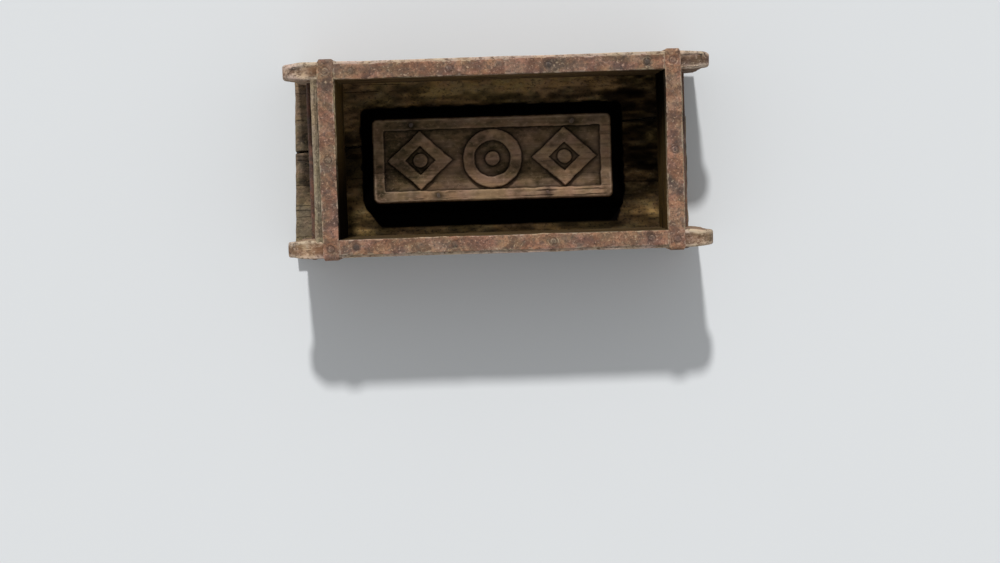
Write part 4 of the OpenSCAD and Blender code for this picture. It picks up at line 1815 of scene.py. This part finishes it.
@dataclass
class NailSet:
    """Hand-made nails that do one job, with flattened round heads."""

    node: str
    places: list[Point]
    inward: list[Point]
    length: float
    head_radius: float = 2.5
    crown: float = 1.0
    crown_power: float = 0.6
    crown_steps: int = 9
    crown_end: float = 0.12
    shank_radius: float = 1.25
    point_length: float = 4.0
    turns: int = 22
    tilt: float = 0.06
    worn_at: float = 0.7
    worn_reach: float = 0.2
    rim_from: Stretch = (0.9, 1.0)
    rim_dark: float = 0.6
    rubbed: float = 1.0
    dark: tuple[float, ...] = (0.0,)
    waver: Wear = Wear((1.9, 1.9, 1.9), 0.24)
    waver_lift: float = 0.5
    lean_spot: Stretch = (0.3, 0.6)
    seed_range: int = 97
    seed_gap: int = 3

    def profile(self) -> np.ndarray:
        """A low crown, a thin rim, a shank and a point.

        Returns:
            Radius and height of each point, from the crown's pole to the tip.
        """
        swing = np.linspace(np.pi / 2.0, self.crown_end, self.crown_steps)
        height = self.crown * np.sin(swing) ** self.crown_power
        crown = np.column_stack([self.head_radius * np.cos(swing), height])
        crown[0, 0] = 0.0
        under = [[self.head_radius, 0.0], [self.shank_radius, 0.0]]
        shank = [[self.shank_radius, self.point_length - self.length], [0.0, -self.length]]
        return np.vstack([crown, under, shank])

    def one(self, place: Point, inward: Point, dark: float, seed: int) -> Surface:
        """A single nail, whose rim wavers and whose crown was struck a little askew.

        Args:
            place: Where the underside of the head sits.
            inward: The unit vector along which it was driven.
            dark: How dark its head is, from 0 to 1.
            seed: Chooses how it was struck.

        Returns:
            The nail in its place.
        """
        surface = revolved(self.profile(), self.turns)
        points = surface.points
        off_axis = np.minimum(1.0, np.hypot(points[:, 0], points[:, 1]))[:, None]
        head = smooth_step(0.0, self.crown / 2.0, points[:, 2])[:, None]
        waver = self.waver.shift(points + seed, seed) * np.array([1.0, 1.0, self.waver_lift])
        points = points + waver * head * off_axis
        near, far = self.lean_spot
        lean = lattice_noise(np.array([[seed, near, far], [far, seed, near]]), 1.0, seed)
        points[:, 2] += head[:, 0] * self.tilt * (points[:, :2] @ lean)
        turn = Vector((0.0, 0.0, 1.0)).rotation_difference(-Vector(inward)).to_matrix()
        surface.points = points @ np.array(turn).T + np.array(place)
        width = surface.marks["edge"]
        surface.marks["nail"] = np.maximum(smooth_step(*self.rim_from, width) * self.rim_dark, dark)
        worn = np.exp(-np.abs(width - self.worn_at) / self.worn_reach)
        surface.marks["edge"] = worn * head[:, 0] * self.rubbed * (1.0 - dark)
        return surface

    def build(self) -> bpy.types.Object:
        """Drive every nail of the set.

        Returns:
            One piece that holds them all.
        """
        count = len(self.places)
        first = sum(map(ord, self.node)) % self.seed_range
        seeds = range(first, first + self.seed_gap * count, self.seed_gap)
        darks = [self.dark[number % len(self.dark)] for number in range(count)]
        nails = [self.one(*nail) for nail in zip(self.places, self.inward, darks, seeds)]
        return joined(nails).to_object(f"forged_{self.node}")


# The whole mould


@dataclass
class BrickMould:
    """The box, its iron and its nails, put together in their order of making."""

    palette: Palette
    rim_iron: float = 97.8
    rim_nail_sink: float = 1.1
    strip_y: float = 67.3
    band_x: float = 133.0
    leg_y: float = 77.3
    frog_face: float = 31.0
    frog_nail_sink: float = 0.9
    frog_nail_length: float = 28.0
    frog_nail_rub: float = 0.5
    frog_nail_dark: float = 0.8
    frog_centre: tuple[float, float] = (-7.4, -2.0)

    def box(self) -> None:
        """Build the boards and the frog block."""
        for side in (Side.FRONT, Side.REAR):
            plank = BasePlank(side)
            self.palette.dress(plank.build(), BASE_WOOD, plank.node)
            board = SideBoard(side)
            self.palette.dress(board.build(), SIDE_WOOD, board.node)
        for side in (Side.LEFT, Side.RIGHT):
            board = EndBoard(side)
            self.palette.dress(board.build(), END_WOOD, board.node)
        frog = FrogBlock()
        self.palette.dress(frog.build(), FROG_WOOD, frog.node)

    def iron(self) -> None:
        """Build the strips, bands, rods and plates."""
        for side in (Side.FRONT, Side.REAR):
            strip = RimStrip(side)
            self.palette.dress(strip.build(), HOOP_IRON, strip.node)
        for end in (Side.LEFT, Side.RIGHT):
            band = Band(end)
            self.palette.dress(band.build(), HOOP_IRON, band.node)
            rod = TieRod(end)
            self.palette.dress(rod.build(), ROD_IRON, rod.node)
            for side in (Side.FRONT, Side.REAR):
                plate = RodPlate(end, side)
                self.palette.dress(plate.build(), ROD_IRON, plate.node)

    def rim_nails(self) -> list[NailSet]:
        """The nails through the strips and the tops of the bands, let in level with the iron.

        Returns:
            One set for each strip and each band.
        """
        down = (0.0, 0.0, -1.0)
        seat = self.rim_iron - self.rim_nail_sink
        sets = []
        for side in (Side.FRONT, Side.REAR):
            strip = RimStrip(side)
            places = [(x, side.sign * self.strip_y, seat) for x in strip.nail_xs]
            name = f"rim_strip_nails_{side.word}"
            down_all = [down] * len(places)
            sets.append(NailSet(name, places, down_all, strip.nail_length, dark=strip.nail_dark))
        for end in (Side.LEFT, Side.RIGHT):
            band = Band(end)
            places = [(end.sign * self.band_x, y, seat) for y in band.rim_nail_ys]
            name = f"band_rim_nails_{end.word}"
            sets.append(NailSet(name, places, [down] * len(places), band.rim_nail_length))
        return sets

    def leg_nails(self) -> list[NailSet]:
        """The nails through the legs of the bands.

        Returns:
            One set for each band.
        """
        sets = []
        for end in (Side.LEFT, Side.RIGHT):
            band = Band(end)
            signs = [s for _ in band.leg_nail_zs for s in (-1.0, 1.0)]
            heights = [z for z in band.leg_nail_zs for _ in (-1.0, 1.0)]
            places = [(end.sign * self.band_x, s * self.leg_y, z) for s, z in zip(signs, heights)]
            inward = [(0.0, -s, 0.0) for s in signs]
            sets.append(NailSet(f"band_leg_nails_{end.word}", places, inward, band.leg_nail_length))
        return sets

    def frog_nails(self) -> NailSet:
        """The nails through the border of the frog block.

        Returns:
            The set.
        """
        frog = FrogBlock()
        corners = [(s * frog.nail_rear_x, frog.nail_y) for s in (-1.0, 1.0)]
        corners += [(s * frog.nail_front_x, -frog.nail_y) for s in (-1.0, 1.0)]
        seat = self.frog_face - self.frog_nail_sink
        places = [(self.frog_centre[0] + x, self.frog_centre[1] + y, seat) for x, y in corners]
        down = [(0.0, 0.0, -1.0)] * len(places)
        return NailSet("frog_nails", places, down, self.frog_nail_length,
                       rubbed=self.frog_nail_rub, dark=(self.frog_nail_dark,))

    def nails(self) -> None:
        """Drive the nails."""
        for group in (*self.rim_nails(), *self.leg_nails(), self.frog_nails()):
            self.palette.dress(group.build(), NAIL_IRON, group.node)

    def flush_nails(self, nodes: dict[str, bpy.types.Object]) -> None:
        """Give the let-in nails of the base, which keep the frame's own shape, their rust.

        Args:
            nodes: The nodes of the frame.
        """
        for side in Side:
            node = nodes[f"base_nails_{side.word}"]
            node.data.materials.clear()
            node.data.materials.append(self.palette.made[NAIL_IRON.name])
            LOG.info("%s: kept from the frame in %s", node.name, NAIL_IRON.name)


# Ground, light and camera


@dataclass
class Studio:
    """A pale ground, one soft main light from the rear, even light all round, and the camera.

    The ground is measured in metres, and the camera's places in millimetres.
    """

    ground_half: float = 6.0
    ground_height: float = -0.0006
    ground_points: int = 9
    light_from: Point = (-0.07, 1.135, 1.0)
    light_strength: float = 2.6
    light_angle: float = 0.06
    sky: Colour = (232, 234, 236)
    sky_strength: float = 0.56
    camera_mm: Point = (1.268, -11.055, 1608.247)
    aim_mm: Point = (-4.141, -97.003, 97.8)
    up: Point = (0.03134, 0.99789, -0.05689)
    lens: float = 70.91
    sensor: float = 36.0

    def ground(self) -> None:
        """Lay the ground as a grid of level points."""
        count = self.ground_points
        line = np.linspace(-self.ground_half, self.ground_half, count) / MM
        x, y = np.meshgrid(line, line, indexing="ij")
        points = np.stack([x, y, np.full_like(x, self.ground_height / MM)], axis=-1).reshape(-1, 3)
        quads = grid_quads(count, count, close_rows=False, close_columns=False)
        ground = Surface(points, quads).to_object("pale_ground")
        ground.data.materials.append(PaleGround().build())

    def light(self) -> None:
        """Hang the main light and set the even light of the room."""
        lamp = bpy.data.lights.new("main_light", "SUN")
        lamp.energy = self.light_strength
        lamp.angle = self.light_angle
        holder = bpy.data.objects.new("main_light", lamp)
        holder.rotation_euler = Vector(self.light_from).to_track_quat("Z", "Y").to_euler()
        bpy.context.scene.collection.objects.link(holder)
        world = bpy.data.worlds.new("room")
        world.use_nodes = True
        room = world.node_tree.nodes["Background"]
        room.inputs["Color"].default_value = linear(self.sky)
        room.inputs["Strength"].default_value = self.sky_strength
        bpy.context.scene.world = world

    def camera(self) -> None:
        """Set the camera over the open face, turned as the photograph's was."""
        lens = bpy.data.cameras.new("camera")
        lens.lens = self.lens
        lens.sensor_width = self.sensor
        lens.sensor_fit = "HORIZONTAL"
        holder = bpy.data.objects.new("camera", lens)
        back = (Vector(self.camera_mm) - Vector(self.aim_mm)).normalized()
        right = Vector(self.up).cross(back).normalized()
        turn = Matrix((right, back.cross(right), back)).transposed().to_4x4()
        holder.matrix_world = Matrix.Translation(Vector(self.camera_mm) * MM) @ turn
        bpy.context.scene.collection.objects.link(holder)
        bpy.context.scene.camera = holder

    def build(self) -> None:
        """Set up the whole studio."""
        self.ground()
        self.light()
        self.camera()
        bpy.context.scene.view_settings.view_transform = "Standard"


def main() -> None:
    """Load the frame, dress every piece, set up the studio and note the sizes."""
    logging.basicConfig(level=logging.INFO, format="%(message)s")
    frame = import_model()
    mould = BrickMould(Palette())
    mould.box()
    mould.iron()
    mould.nails()
    mould.flush_nails(frame["nodes"])
    Studio().build()


if __name__ == "__main__":
    main()
